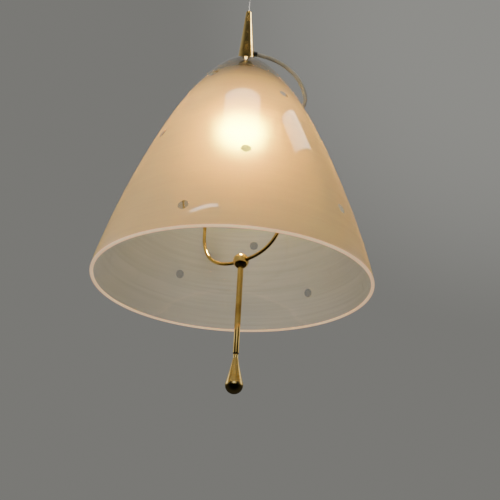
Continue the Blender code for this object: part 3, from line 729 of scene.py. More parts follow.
def round_axis(tree, grid, turn, radius, height):
    """Sets the grid's points at an angle, a radius and a height."""
    angle = maths(tree, "MULTIPLY", turn, 2 * math.pi)
    where = place(tree, "ShaderNodeCombineXYZ", {
        0: maths(tree, "MULTIPLY", radius, maths(tree, "COSINE", angle)),
        1: maths(tree, "MULTIPLY", radius, maths(tree, "SINE", angle)),
        2: height,
    })
    return place(tree, "GeometryNodeSetPosition", {
        "Geometry": grid, "Position": where.outputs[0],
    }).outputs[0]


def grid_of(tree, around, rows):
    """A flat grid of one metre, to be bent into a wall."""
    return place(tree, "GeometryNodeMeshGrid", {
        "Size X": 1.0, "Size Y": 1.0, "Vertices X": around, "Vertices Y": rows,
    }).outputs[0]


def share_at_hole(tree, given, rim):
    """How far up its own height a wall with this rim radius meets the hole."""
    at_hole = maths(tree, "POWER", maths(tree, "DIVIDE", given["Hole Radius"], rim),
                    maths(tree, "DIVIDE", 1.0, given["Belly"]))
    return maths(tree, "POWER", maths(tree, "SUBTRACT", 1.0, at_hole),
                 maths(tree, "DIVIDE", 1.0, given["Shoulder"]))


def wall_tree():
    """Inputs: the wall's rim radius, its height, the two exponents, the hole and the steps."""
    tree, given, _ = new_tree("bell_wall", {
        "Rim Radius": RIM_R, "Height": BELL_H, "Shoulder": CURVE_A, "Belly": CURVE_B,
        "Hole Radius": HOLE_R, "Rim Height": RIM_Z, "Around": AROUND, "Rows": OUTER_ROWS,
    })
    grid = grid_of(tree, given["Around"], given["Rows"])
    turn, rise = grid_position(tree)
    share = share_at_hole(tree, given, given["Rim Radius"])
    bow = maths(tree, "SINE", maths(tree, "MULTIPLY", rise, maths(tree, "ARCSINE", share)))
    fall = maths(tree, "SUBTRACT", 1.0, maths(tree, "POWER", bow, given["Shoulder"]))
    radius = maths(tree, "MULTIPLY", given["Rim Radius"],
                   maths(tree, "POWER", fall, given["Belly"]))
    height = maths(tree, "MULTIPLY_ADD", bow, given["Height"], given["Rim Height"])
    place(tree, "NodeGroupOutput", {"Geometry": round_axis(tree, grid, turn, radius, height)})
    return tree


def lip_geometry(tree, given):
    """A half-round band under the rim, from the outer wall to the inner one."""
    grid = grid_of(tree, given["Around"], 9)
    turn, share = grid_position(tree)
    angle = maths(tree, "MULTIPLY", share, math.pi)
    half = maths(tree, "MULTIPLY", given["Wall"], 0.5)
    middle = maths(tree, "SUBTRACT", given["Rim Radius"], half)
    radius = maths(tree, "MULTIPLY_ADD", half, maths(tree, "COSINE", angle), middle)
    drop = maths(tree, "MULTIPLY", half, maths(tree, "SINE", angle))
    return round_axis(tree, grid, turn, radius, maths(tree, "SUBTRACT", given["Rim Height"], drop))


bell_wall = wall_tree()
print(f"wall group of {len(bell_wall.nodes)} nodes")

# %% [markdown]
# ## Ground lenses
#
# Nine small round lenses are ground into the bell, seemingly at random: where the grinder has
# gone through the milky layer, the glass is clear. Each is named by its height above the rim,
# in millimetres, and by its direction, in degrees from the front towards +X. They are listed one
# by one, as the maker chose them. In the tree, every lens adds five nodes, so a loop writes them.

# %% Lens places
LENS_R, LENS_DEPTH = 7.2 * MM, 0.55 * MM
LENSES = [(121.6, 3.8), (30.2, -18.3), (69.9, 50.5), (75.2, -149.2), (49.6, 139.7),
          (132.4, 169.6), (183.5, -50.1), (258.8, 34.1), (303.4, -32.8)]


def on_bell(h, azimuth):
    """A point of the outer wall at a height in millimetres and a direction in degrees."""
    a, r = math.radians(azimuth), bell_radius(h * MM)
    return (r * math.sin(a), -r * math.cos(a), up(h))


def lens_field(tree):
    """1 at the middle of the nearest lens, 0 at its edge and less outside it."""
    where = place(tree, "GeometryNodeInputPosition").outputs[0]
    field = None
    for h, azimuth in LENSES:
        away = place(tree, "ShaderNodeVectorMath", {0: where, 1: on_bell(h, azimuth)},
                     operation="DISTANCE").outputs["Value"]
        share = maths(tree, "DIVIDE", away, LENS_R)
        inside = maths(tree, "SUBTRACT", 1.0, maths(tree, "MULTIPLY", share, share))
        field = maths(tree, "MAXIMUM", field, inside) if field else inside
    return field


print(f"{len(LENSES)} lenses of {2 * LENS_R / MM:.0f} mm")

# %% [markdown]
# ## Finish: clear glass
#
# The inner surface of the bell and the ground lenses are clear. They are seen as one thin
# layer: nearly all the light passes, and the rest is mirrored. That keeps the render clean,
# since light from the bulb can be followed through it.


# %% Clear glass
def mixed(tree, share, first, second):
    """Two shaders in one: share is the part of the second."""
    return place(tree, "ShaderNodeMixShader", {0: share, 1: first, 2: second}).outputs[0]


def clear_shader(tree, tint=(0.97, 0.96, 0.93)):
    """The mirrored share is the same from both sides, as it is for a whole pane."""
    gloss = place(tree, "ShaderNodeBsdfGlossy", {"Color": (1, 1, 1, 1), "Roughness": 0.04})
    passes = place(tree, "ShaderNodeBsdfTransparent", {"Color": (*tint, 1.0)})
    facing = place(tree, "ShaderNodeLayerWeight", {"Blend": 0.5}).outputs["Facing"]
    edge = maths(tree, "MULTIPLY_ADD", maths(tree, "POWER", facing, 5.0), 0.85, 0.04)
    return mixed(tree, edge, passes.outputs[0], gloss.outputs[0])


def clear_finish():
    mat, tree, out = new_finish("clear_glass")
    cloud = grain(tree, 12.0, stretch=(1, 1, 6), detail=3.0)
    haze = place(tree, "ShaderNodeBsdfDiffuse", {
        "Color": ramp(tree, cloud, (0.35, (0.60, 0.56, 0.50)), (0.65, (0.72, 0.68, 0.61))),
    })
    share = between(tree, cloud, 0.008, 0.02)
    tree.links.new(mixed(tree, share, clear_shader(tree), haze.outputs[0]), out.inputs[0])
    return mat


clear_glass = clear_finish()
print(f"clear glass of {len(clear_glass.node_tree.nodes)} nodes")

# %% [markdown]
# ## Finish: cased opal glass
#
# The bell is clear glass with a thin milky skin on its outside. Light does four things in that
# skin. Some is scattered back, which makes the cream colour under room light: a Principled
# shader with a clear coat, which also mirrors the lamps of the room. Some is spread through,
# which lets the whole bell glow round the bulb: a Translucent shader. The rest goes on, more or
# less blurred, and shows the bulb as a hot spot with a yellow ring round it: two Refraction
# shaders, a narrow one and a wide one. Seen from inside, the skin is duller and more neutral.
# Fine streaks round the bell and a slow change of density come from noise. Towards the top the
# milky skin gives way to clear glass with a dark grey tint, so the bell turns grey: partly real
# clear glass, partly painted shade where the lampholder keeps the bulb's light off the top.


# %% Light in the skin
def by_side(tree, behind, outside, inside):
    """One colour on the wall's outside and another on its back."""
    return place(tree, "ShaderNodeMix", {"Factor": behind, 6: outside, 7: (*inside, 1)},
                 data_type="RGBA").outputs[2]


def level_normal(tree, behind):
    """A normal that points away from the bell's axis and down, the way the light leaves a bulb
    that is looked at from below. On the wall's back it is turned round."""
    where = place(tree, "ShaderNodeTexCoord").outputs["Object"]
    flat = place(tree, "ShaderNodeVectorMath", {0: where, 1: (1, 1, 0)},
                 operation="MULTIPLY").outputs[0]
    out = place(tree, "ShaderNodeVectorMath", {0: flat}, operation="NORMALIZE").outputs[0]
    lowered = place(tree, "ShaderNodeVectorMath", {0: out, 1: (0, 0, -0.55)}).outputs[0]
    unit = place(tree, "ShaderNodeVectorMath", {0: lowered}, operation="NORMALIZE").outputs[0]
    side = maths(tree, "MULTIPLY_ADD", behind, -2.0, 1.0)
    return place(tree, "ShaderNodeVectorMath", {0: unit, "Scale": side},
                 operation="SCALE").outputs[0]


def light_through(tree, behind, density):
    """What the skin lets through: spread light, and the narrow and the wide blur. Nearly all of
    the blurred light is left out on the wall's back."""
    amber = ramp(tree, density, (0.40, (0.62, 0.36, 0.16)), (0.60, (0.70, 0.45, 0.23)))
    through = place(tree, "ShaderNodeBsdfTranslucent", {
        "Color": by_side(tree, behind, amber, (0.86, 0.82, 0.74)),
    })
    level = level_normal(tree, behind)
    narrow, wide = [place(tree, "ShaderNodeBsdfRefraction", {
        "Color": (*colour, 1.0), "Roughness": roughness, "IOR": bend, "Normal": level,
    }).outputs[0] for colour, roughness, bend in (((0.78, 1.0, 0.16), 0.66, 1.17),
                                                  ((1.0, 0.54, 0.06), 1.0, 1.42))]
    ahead = maths(tree, "MULTIPLY_ADD", behind, -0.55, 0.56)
    return mixed(tree, ahead, through.outputs[0], mixed(tree, 0.40, narrow, wide))


def light_back(tree, behind, density, streaks):
    """What the skin scatters back, under its mirroring coat."""
    cream = ramp(tree, density, (0.40, (0.74, 0.58, 0.41)), (0.60, (0.82, 0.67, 0.50)))
    fine = grain(tree, 260.0, stretch=(1, 1, 5), detail=2.0)
    return place(tree, "ShaderNodeBsdfPrincipled", {
        "Base Color": by_side(tree, behind, cream, (0.13, 0.125, 0.115)),
        "Roughness": between(tree, fine, 0.42, 0.54), "Specular IOR Level": 0.0,
        "Coat Weight": 1.0, "Coat Roughness": 0.02, "Coat IOR": 1.5,
        "Normal": bumped(tree, streaks, 0.10, 0.4 * MM),
    }).outputs[0]


print("the skin's parts ready")


# %% Opal skin
# Heights above the rim where the milky skin starts to fade and where the clear, darkened top is
# full
MILKY_TO, SHADED_TOP_FROM = 235, 350


def opal_finish():
    mat, tree, out = new_finish("opal_skin")
    streaks = grain(tree, 9.0, stretch=(0.5, 0.5, 22), detail=5.0, roughness=0.62)
    clouds = grain(tree, 7.0, detail=3.0)
    density = maths(tree, "ADD", between(tree, streaks, -0.05, 0.05),
                    between(tree, clouds, -0.04, 0.04))
    half_dense = maths(tree, "ADD", 0.5, density)
    behind = place(tree, "ShaderNodeNewGeometry").outputs["Backfacing"]
    milk = mixed(tree, maths(tree, "ADD", 0.46, density),
                 light_back(tree, behind, half_dense, streaks),
                 light_through(tree, behind, half_dense))
    where = place(tree, "ShaderNodeTexCoord").outputs["Object"]
    # Towards the top the skin turns to clear glass with a dark grey tint: partly real clear glass,
    # partly painted shade of the lampholder
    clear_and_shaded_top = place(tree, "ShaderNodeMapRange", {
        "Value": place(tree, "ShaderNodeSeparateXYZ", {0: where}).outputs[2],
        "From Min": up(MILKY_TO), "From Max": up(SHADED_TOP_FROM), "To Min": 0.0, "To Max": 0.93,
    }, interpolation_type="SMOOTHSTEP").outputs[0]
    top_shaded_milk = mixed(tree, clear_and_shaded_top, milk, clear_shader(tree, (0.46, 0.45, 0.42)))
    field = place(tree, "ShaderNodeAttribute", attribute_name="lens").outputs["Fac"]
    ground = between(tree, field, 0.0, 1.0, 0.02, 0.10)
    bent = place(tree, "ShaderNodeBsdfRefraction", {
        "Color": (0.98, 0.98, 0.98, 1.0), "Roughness": 0.08, "IOR": 1.45,
    })
    dished = mixed(tree, behind, bent.outputs[0], clear_shader(tree, (0.80, 0.79, 0.76)))
    whole = mixed(tree, maths(tree, "MULTIPLY", ground, 0.90), top_shaded_milk, dished)
    tree.links.new(whole, out.inputs[0])
    return mat


opal_skin = opal_finish()
print(f"opal skin of {len(opal_skin.node_tree.nodes)} nodes")

# %% [markdown]
# ## Finish: the lit lip
#
# The clear wall carries the bulb's light down inside it, and where the wall ends, at the lip,
# the light comes out. That is why the edge of a glass shade glows peach although it is far
# from the bulb. A render that followed this would be slow and noisy, so the lip's material
# gives off that faint light itself, a little unevenly, under its gloss.


# %% Lip
def lip_finish():
    mat, tree, out = new_finish("lit_lip")
    cloud = grain(tree, 14.0, detail=3.0)
    warm = ramp(tree, cloud, (0.30, (0.95, 0.54, 0.26)), (0.70, (1.0, 0.64, 0.34)))
    shader = place(tree, "ShaderNodeBsdfPrincipled", {
        "Base Color": ramp(tree, cloud, (0.30, (0.70, 0.53, 0.38)), (0.70, (0.78, 0.62, 0.46))),
        "Roughness": between(tree, grain(tree, 300.0), 0.16, 0.28),
        "Coat Weight": 1.0, "Coat Roughness": 0.03,
        "Emission Color": warm, "Emission Strength": 0.75,
    })
    tree.links.new(shader.outputs[0], out.inputs[0])
    return mat


lit_lip = lip_finish()
print("lip finish ready")


# %% The bell's tree
def bell_tree():
    tree, given, names = new_tree("bell", {
        "Rim Radius": RIM_R, "Height": BELL_H, "Wall": GLASS_T, "Shoulder": CURVE_A,
        "Belly": CURVE_B, "Hole Radius": HOLE_R, "Rim Height": RIM_Z, "Lens Depth": LENS_DEPTH,
        "Around": AROUND,
    })
    shared = ("Shoulder", "Belly", "Hole Radius", "Rim Height", "Around")
    outer = place(tree, "GeometryNodeGroup", node_tree=bell_wall)
    inner = place(tree, "GeometryNodeGroup", node_tree=bell_wall)
    for group, rows, inset in ((outer, OUTER_ROWS, 0.0), (inner, INNER_ROWS, given["Wall"])):
        for key in shared:
            tree.links.new(given[key], group.inputs[key])
        group.inputs["Rows"].default_value = rows
        for key in ("Rim Radius", "Height"):
            set_socket(tree, group.inputs[key], maths(tree, "SUBTRACT", given[key], inset))
    field = lens_field(tree)
    dish = maths(tree, "MULTIPLY", maths(tree, "MAXIMUM", field, 0.0), given["Lens Depth"])
    inward = maths(tree, "MULTIPLY", dish, -1.0)
    normal = place(tree, "GeometryNodeInputNormal").outputs[0]
    sink = place(tree, "ShaderNodeVectorMath", {0: normal, "Scale": inward},
                 operation="SCALE").outputs[0]
    dished = place(tree, "GeometryNodeSetPosition", {"Geometry": outer.outputs[0], "Offset": sink})
    kept = place(tree, "GeometryNodeStoreNamedAttribute", {
        "Geometry": dished.outputs[0], "Name": "lens", "Value": field,
    }, data_type="FLOAT", domain="POINT")
    collar = inner_collar(tree, given)
    parts = []
    turned_in = place(tree, "GeometryNodeFlipFaces", {"Mesh": inner.outputs[0]}).outputs[0]
    turned_down = place(tree, "GeometryNodeFlipFaces",
                        {"Mesh": lip_geometry(tree, given)}).outputs[0]
    for geometry, mat in ((kept.outputs[0], opal_skin), (turned_in, clear_glass),
                          (collar, clear_glass), (turned_down, lit_lip)):
        painted = place(tree, "GeometryNodeSetMaterial", {"Geometry": geometry})
        painted.inputs["Material"].default_value = mat
        parts.append(painted.outputs[0])
    closed = place(tree, "GeometryNodeMergeByDistance", {
        "Geometry": joined(tree, *parts), "Distance": 0.05 * MM,
    })
    real = place(tree, "GeometryNodeRealizeInstances", {"Geometry": closed.outputs[0]})
    place(tree, "NodeGroupOutput", {"Geometry": real.outputs[0]})
    return tree, names


def inner_collar(tree, given):
    """The short wall of the hole at the top, between the outer and the inner surface."""
    grid = grid_of(tree, given["Around"], 3)
    turn, share = grid_position(tree)
    tops = []
    for inset in (0.0, given["Wall"]):
        rim = maths(tree, "SUBTRACT", given["Rim Radius"], inset)
        tall = maths(tree, "SUBTRACT", given["Height"], inset)
        tops.append(maths(tree, "MULTIPLY_ADD", share_at_hole(tree, given, rim), tall,
                          given["Rim Height"]))
    span = maths(tree, "SUBTRACT", tops[1], tops[0])
    height = maths(tree, "MULTIPLY_ADD", share, span, tops[0])
    return round_axis(tree, grid, turn, given["Hole Radius"], height)


bell, bell_names = bell_tree()
print(f"bell tree of {len(bell.nodes)} nodes")


# %% Grow the bell
def wall_facts(obj):
    """How many edges are open, and the volume of the glass: it is positive if faces point out."""
    bm = bmesh.new()
    bm.from_mesh(obj.data)
    facts = sum(1 for e in bm.edges if not e.is_manifold), bm.calc_volume(signed=True)
    bm.free()
    return facts


shade = grown("bell_shade", bell, bell_names, {"Rim Radius": RIM_R, "Around": AROUND}, 30)
open_edges, glass_volume = wall_facts(shade)
print(f"bell: {open_edges} open edges, {glass_volume * 1e3:.2f} litres of glass")
stand_for(shade, "lamp", "opal_glass", "glass_shade")

# %% [markdown]
# ## The cone and what it hides
#
# The tall brass cone is a cover. It stands on the upper washer, can be slid up the wire, and
# hides the hexagonal hanger that the wire pulls on. It is spun from sheet, so its wall is thin
# and its tip is rolled in. A round-topped slot in its side lets the lead out. The outline is
# turned, and the slot is cut by one bar with a round top.

# %% Cone cover
LEAD_AZ = math.radians(100)
LEAD_WAY = Vector((math.sin(LEAD_AZ), -math.cos(LEAD_AZ), 0))
CONE_WALL = 0.9
SLOT_HALF, SLOT_CROWN, SLOT_BOTTOM = 4.7 * MM, 404.9, 376


def slot_cutter():
    """A round-topped bar that lies along the lead's way out."""
    across = Vector((-LEAD_WAY.y, LEAD_WAY.x, 0))
    outline = [across * side * SLOT_HALF + Vector((0, 0, up(SLOT_BOTTOM))) for side in (-1, 1)]
    middle = up(SLOT_CROWN) - SLOT_HALF
    for k in range(25):
        a = math.pi * k / 24
        outline.append(across * SLOT_HALF * math.cos(a)
                       + Vector((0, 0, middle + SLOT_HALF * math.sin(a))))
    bm = bmesh.new()
    near = bm.faces.new([bm.verts.new(p + LEAD_WAY * 5 * MM) for p in outline])
    pushed = bmesh.ops.extrude_face_region(bm, geom=[near])["geom"]
    bmesh.ops.translate(bm, vec=LEAD_WAY * 15 * MM,
                        verts=[v for v in pushed if isinstance(v, bmesh.types.BMVert)])
    return finished_object("cutter", bm, None)


CONE_R, foot, tip = 13.75, 380.7, 483.0
cone_outline = outline_mm([
    (CONE_R, foot), (CONE_R, foot + 0.6), (4.7, tip - 1.4), (4.3, tip - 0.3), (3.9, tip),
    (1.6, tip), (1.6, tip - 3.5), (3.6, tip - 3.5), (CONE_R - CONE_WALL, foot),
], 0.3)
cone = cut(spun("brass_cone", cone_outline, brass, 144), slot_cutter())
stand_for(cone, "cone", "brass", "cone_cover")

# %% Hanger, its cap and the wire's nipple
for node in ("hanger_body", "hanger_cap"):
    stand_for(copied(node, brass, 0.35 * MM), "lamp", "brass", node)
nipple = turned_piece("nipple", [(0, 413.6), (4.5, 413.6), (4.5, 408), (3.6, 406.9), (0, 406.9)],
                      brass, "wire", "brass", "wire_nipple", steps=64)

# %% [markdown]
# ## The lead's gland
#
# A rubber bush in the hanger's side grips the lead and keeps it from a sharp bend. It tapers
# outwards and is cut by a few grooves that let it flex.

# %% Gland
GLAND_IN, GLAND_OUT = 5.2, 17.3
gland_outline = [(1.9, GLAND_IN), (4.0, GLAND_IN), (4.0, 9.0)]
for k in range(4):
    z = 10.2 + 1.7 * k
    r = 4.0 - 0.04 * k
    gland_outline += [(r, z), (r - 0.5, z + 0.35), (r - 0.5, z + 0.75), (r, z + 1.1)]
gland_outline += [(3.85, GLAND_OUT - 0.2), (3.7, GLAND_OUT), (1.9, GLAND_OUT)]
gland_place = (Matrix.Translation((0, 0, up(400)))
               @ Vector((0, 0, 1)).rotation_difference(LEAD_WAY).to_matrix().to_4x4())
gland = spun("gland", outline_mm(gland_outline, 0.15, base=0), rubber, 64, gland_place)
stand_for(gland, "lamp", "rubber", "lead_gland")

# %% [markdown]
# ## Washers, tube and nut
#
# The glass is squeezed between two rubber washers, one bevelled to the outside of the bell and
# one to its inside, by a nut on the threaded tube. The thread is a rule: the radius follows a
# wave that climbs one pitch per turn.


# %% Clamping parts
def threaded(pitch, depth):
    """A bend rule for spun(): a rounded thread cut into whatever it is given."""
    def rule(angle, radius, z):
        wave = 0.5 + 0.5 * math.cos(2 * math.pi * (z / pitch) - angle)
        return radius - depth * wave
    return rule


BORE = 5.35
turned_piece("washer_over", [(BORE, 383.5), (12, 381.2), (12, 386), (BORE, 386)],
             rubber, "lamp", "rubber", "upper_washer", 0.5)
turned_piece("washer_under", [(BORE, 372.6), (12, 372.6), (12, 375.2), (BORE, 377.3)],
             rubber, "lamp", "rubber", "lower_washer", 0.5)
turned_piece("plate_washer", [(BORE, 370.3), (11, 370.3), (11, 372.3), (BORE, 372.3)],
             steel, "lamp", "steel", "clamp_washer")
stand_for(copied("clamp_nut", steel, 0.35 * MM), "lamp", "steel", "clamp_nut")

TUBE_LOW, TUBE_HIGH, TUBE_PITCH, TUBE_STEP = 346.0, 394.0, 1.0, 0.2
side = [(5.0, TUBE_LOW + TUBE_STEP * k)
        for k in range(1, int((TUBE_HIGH - TUBE_LOW) / TUBE_STEP))]
tube_outline = [(4.5, TUBE_LOW), *side, (4.5, TUBE_HIGH), (3.6, TUBE_HIGH), (3.6, TUBE_LOW)]


def tube_thread(angle, radius, z):
    """The thread is cut into the tube's outside only."""
    return threaded(TUBE_PITCH * MM, 0.35 * MM)(angle, radius, z) if radius > 4.9 * MM else radius


tube = spun("tube", placed_mm(tube_outline), brass, 48, bend=tube_thread)
stand_for(tube, "lamp", "brass", "threaded_tube")

# %% [markdown]
# ## Lampholder
#
# The lampholder is a domed brass cap on the end of the tube, a porcelain insert with the
# contacts, and a skirt that the bulb goes into. Under the skirt's collar the bow's plate is
# held by a ribbed ring. All of it is inside the bell and is seen only from below, but it also
# casts the shape of the bulb's light, so nothing is left out.

# %% Cap, skirt and insert
cap = spun("holder_cap", outline_mm([
    (22.6, 326.3), (22.6, 337), (21.2, 343), (17, 348), (10, 351), (8, 352), (8, 357),
    (BORE, 357), (BORE, 349), (9.5, 349), (16, 346.2), (19.4, 342), (20.4, 336.6), (20.4, 326.3),
], 0.8), brass)
grub = Vector((0, 0, up(354.5)))
cut(cap, bar(1.7 * MM, grub + Vector((3 * MM, 0, 0)), grub + Vector((10 * MM, 0, 0)), 32))
stand_for(cap, "lamp", "brass", "lampholder_cap")
turned_piece("holder_skirt", [
    (15, 300), (16, 299), (19, 299), (19.5, 300), (19.5, 321.5), (23, 321.5), (23, 326), (15, 326),
], brass, "lamp", "brass", "lampholder_skirt")
turned_piece("holder_insert", [(4, 333.5), (16.8, 333.5), (16.8, 343), (4, 343)],
             porcelain, "lamp", "porcelain", "lampholder_insert", 0.8)
for node in ("centre_contact", "side_contact_1", "side_contact_2"):
    stand_for(copied(node, contact_brass, 0.1 * MM), "lamp", "contact_brass", node)

# %% [markdown]
# ## Geometry Nodes: slotted screws
#
# The same small slotted screw turns up in pairs: in the ceiling plate, on the terminals and,
# without a head, in the side of the holder and the gripper. One tree makes a row of them: a
# turned shank and head, a block that cuts the slot, and an instance on each point of a line.


# %% Screw tree
def screw_tree():
    tree, given, names = new_tree("slotted_screws", {
        "Count": 2, "Spacing": 18 * MM, "Head Radius": 2.3 * MM, "Head Height": 1.6 * MM,
        "Shank Radius": 1.2 * MM, "Shank Length": 1.0 * MM, "Slot Width": 0.6 * MM,
    })
    half_head = maths(tree, "MULTIPLY", given["Head Height"], 0.5)
    head = place(tree, "GeometryNodeMeshCone", {
        "Vertices": 40, "Side Segments": 3, "Radius Top": given["Head Radius"],
        "Radius Bottom": maths(tree, "MULTIPLY", given["Head Radius"], 0.86),
        "Depth": given["Head Height"],
    })
    size = place(tree, "ShaderNodeCombineXYZ", {
        0: maths(tree, "MULTIPLY", given["Head Radius"], 2.4), 1: given["Slot Width"],
        2: given["Head Height"],
    })
    block = place(tree, "GeometryNodeMeshCube", {"Size": size.outputs[0]})
    down = place(tree, "ShaderNodeCombineXYZ", {2: maths(tree, "MULTIPLY", half_head, -1.0)})
    slot = place(tree, "GeometryNodeTransform", {
        "Geometry": block.outputs[0], "Translation": down.outputs[0],
    })
    slotted = place(tree, "GeometryNodeMeshBoolean", {0: head.outputs[0], 1: slot.outputs[0]},
                    operation="DIFFERENCE")
    shank = place(tree, "GeometryNodeMeshCylinder", {
        "Vertices": 32, "Radius": given["Shank Radius"], "Depth": given["Shank Length"],
    })
    rise = maths(tree, "ADD", given["Head Height"],
                 maths(tree, "MULTIPLY_ADD", given["Shank Length"], 0.5, -0.1 * MM))
    above = place(tree, "ShaderNodeCombineXYZ", {2: rise})
    lifted = place(tree, "GeometryNodeTransform", {
        "Geometry": shank.outputs[0], "Translation": above.outputs[0],
    })
    screw = joined(tree, slotted.outputs[0], lifted.outputs[0])
    step = place(tree, "ShaderNodeCombineXYZ", {0: given["Spacing"]})
    back_half = maths(tree, "MULTIPLY", given["Spacing"], -0.5)
    gaps = maths(tree, "SUBTRACT", given["Count"], 1.0)
    first = place(tree, "ShaderNodeCombineXYZ", {0: maths(tree, "MULTIPLY", back_half, gaps)})
    line = place(tree, "GeometryNodeMeshLine", {
        "Count": given["Count"], "Start Location": first.outputs[0], "Offset": step.outputs[0],
    })
    placed = place(tree, "GeometryNodeInstanceOnPoints", {
        "Points": line.outputs[0], "Instance": screw,
    })
    tree_output(tree, placed.outputs[0], steel)
    return tree, names


screws, screw_names = screw_tree()
print(f"screw tree of {len(screws.nodes)} nodes")


# %% Screws in their places
def screw_row(name, at, *sizes):
    """A row of steel screws, grown and then moved to its place. sizes are the tree's inputs in
    their order: a count, and then measures in millimetres."""
    count, *measures = sizes
    values = {label: size * MM for label, size in zip(list(screw_names)[1:], measures)}
    obj = grown(name, screws, screw_names, {"Count": count, **values})
    obj.data.transform(at)
    return obj


SUNK = 0.5
FLIP = Matrix.Rotation(math.pi, 4, "X")
LYING = Matrix.Rotation(-math.pi / 2, 4, "Y")
plate_screws = screw_row("plate_screws", Matrix.Translation((0, 0, -6.0 * MM)),
                         2, 38, 4.0, 2.2, 2.1, 3.4, 0.9)
stand_for(plate_screws, "ceiling", "steel", "ceiling_screw_1", "ceiling_screw_2")
terminals = screw_row("terminal_screws", Matrix.Translation((0, 0, up(344.7))) @ FLIP,
                      2, 18, 2.3, 1.4, 1.3, 0.3, 0.6)
stand_for(terminals, "lamp", "steel", "terminal_screw_1", "terminal_screw_2")
for name, node, body, end, height, length, radius in (
    ("grub_screw", "holder_grub_screw", "lamp", 9.2, up(354.5), 3.8, 1.35),
    ("grip_screw", "gripper_screw", "ceiling", 6.9, -30 * MM, 4.3, 1.25),
):
    one = screw_row(name, Matrix.Translation(((end - SUNK) * MM, 0, height)) @ LYING,
                    1, 0, radius, 1.0, 0.92 * radius, length - 1.2, 0.45)
    stand_for(one, body, "steel", node)

# %% [markdown]
# ## Bow, plate and ring
#
# The bow is one brass wire, 5 mm thick: its ends are held in the carrier plate by nuts, its
# shoulders bend round the bulb, and its bottom is a squared ellipse on which the handle's ball
# hangs. Half of it is described in the plane of the bow, and the other half is its mirror.

# %% The bow's route
BOW_TURN = math.radians(-42)
BOW_WAY = Vector((math.cos(BOW_TURN), math.sin(BOW_TURN), 0))
BOW_LUG, BOW_HALF, BOW_DEPTH, BOW_POWER, H_BOW = 29, 73, 58, 2.4, 39
BOW_LEAN, H_LEVEL = 10, 303
BOW_WIRE_R = 2.5 * MM


def bow_half():
    """(distance from the axis, height) in millimetres, from the plate to the lowest point."""
    bend, wide, level = 9, 33, H_LEVEL
    line = [(BOW_LUG, 328), (BOW_LUG, 325), (BOW_LUG, 320), (BOW_LUG, 315)]
    for k in range(9):
        a = math.pi / 2 * k / 8
        line.append((BOW_LUG + bend - bend * math.cos(a), level + bend - bend * math.sin(a)))
    for k in range(17):
        a = math.pi / 2 * k / 16
        line.append((BOW_HALF - wide + wide * math.sin(a), level - wide + wide * math.cos(a)))
    line += [(BOW_HALF, h) for h in range(250, 100, -12)]
    for k in range(33):
        a = math.pi / 2 * k / 32
        c = max(math.cos(a), 0.0)
        line.append((BOW_HALF * c ** (2 / BOW_POWER),
                     H_BOW + BOW_DEPTH * (1 - math.sin(a) ** (2 / BOW_POWER))))
    return line


def on_bow(d, h):
    """A point of the bow. It was bent by hand and leans to +X from its shoulders down."""
    lean = BOW_LEAN * max(0.0, (H_LEVEL - h) / (H_LEVEL - H_BOW))
    return BOW_WAY * d * MM + Vector((lean * MM, 0, up(h)))


half = bow_half()
bow_route = [on_bow(d, h) for d, h in half] + [on_bow(-d, h) for d, h in half[-2::-1]]
bow = swept("handle_bow_wire", bow_route, BOW_WIRE_R, drawn_brass, sides=32,
            round_ends=0.8 * MM)
stand_for(bow, "lamp", "brass", "handle_bow")

# %% Carrier plate and nuts
WIRE_HOLE_R, AIR_HOLE_R, AIR_HOLE_OUT = 2.8, 3.5, 27
PLATE_LOW, PLATE_TOP = 318.9, 321.2
plate = spun("carrier_plate", outline_mm([
    (19.8, PLATE_LOW), (34, PLATE_LOW), (34, PLATE_TOP), (19.8, PLATE_TOP),
], 0.4), brass, 128)
holes = []
for k in range(8):
    turn = BOW_TURN + math.pi * k / 4
    radius, distance = (WIRE_HOLE_R, BOW_LUG) if k % 4 == 0 else (AIR_HOLE_R, AIR_HOLE_OUT)
    spot = Vector((math.cos(turn), math.sin(turn), 0)) * distance * MM
    holes.append(bar(radius * MM, spot + Vector((0, 0, up(317))), spot + Vector((0, 0, up(323)))))
stand_for(cut(plate, *holes), "lamp", "brass", "bow_plate")
for number in range(1, 5):
    stand_for(copied(f"bow_nut_{number}", steel, 0.2 * MM), "lamp", "steel", f"bow_nut_{number}")

# %% [markdown]
# ## Geometry Nodes: ribs round a ring
#
# The ring that clamps the plate is turned by hand, so its outside has a grip of upright ribs.
# The ring's body is turned like the rest, and the tree sets one upright rounded rib on each
# point of a circle round it.


# %% Ribbed ring tree
def ribbed_ring_tree():
    tree, given, names = new_tree("ribbed_ring", {
        "Ribs": 60, "Ring Radius": 22.7 * MM, "Rib Radius": 0.55 * MM, "Rib Height": 4.6 * MM,
        "Level": up(315.6),
    })
    circle = place(tree, "GeometryNodeMeshCircle", {
        "Vertices": given["Ribs"], "Radius": given["Ring Radius"],
    })
    level = place(tree, "ShaderNodeCombineXYZ", {2: given["Level"]})
    raised = place(tree, "GeometryNodeTransform", {
        "Geometry": circle.outputs[0], "Translation": level.outputs[0],
    })
    rib = place(tree, "GeometryNodeMeshUVSphere", {
        "Segments": 12, "Rings": 10, "Radius": given["Rib Radius"],
    })
    half_rib = maths(tree, "MULTIPLY", given["Rib Height"], 0.5)
    stretch = place(tree, "ShaderNodeCombineXYZ", {
        0: 1.0, 1: 1.0, 2: maths(tree, "DIVIDE", half_rib, given["Rib Radius"]),
    })
    tall = place(tree, "GeometryNodeTransform", {
        "Geometry": rib.outputs[0], "Scale": stretch.outputs[0],
    })
    placed = place(tree, "GeometryNodeInstanceOnPoints", {
        "Points": raised.outputs[0], "Instance": tall.outputs[0],
    })
    tree_output(tree, placed.outputs[0], brass)
    return tree, names


ribs, rib_names = ribbed_ring_tree()
grip = grown("lock_ring_ribs", ribs, rib_names, {"Ribs": 60})
turned_piece("lock_ring_body", [
    (19.9, 312.6), (22.3, 312.6), (22.75, 313.1), (22.75, 318.1), (22.3, 318.6), (19.9, 318.6),
], brass, "lamp", "brass", "lock_ring", 0.25, 144)
stand_for(grip, "lamp", "brass")

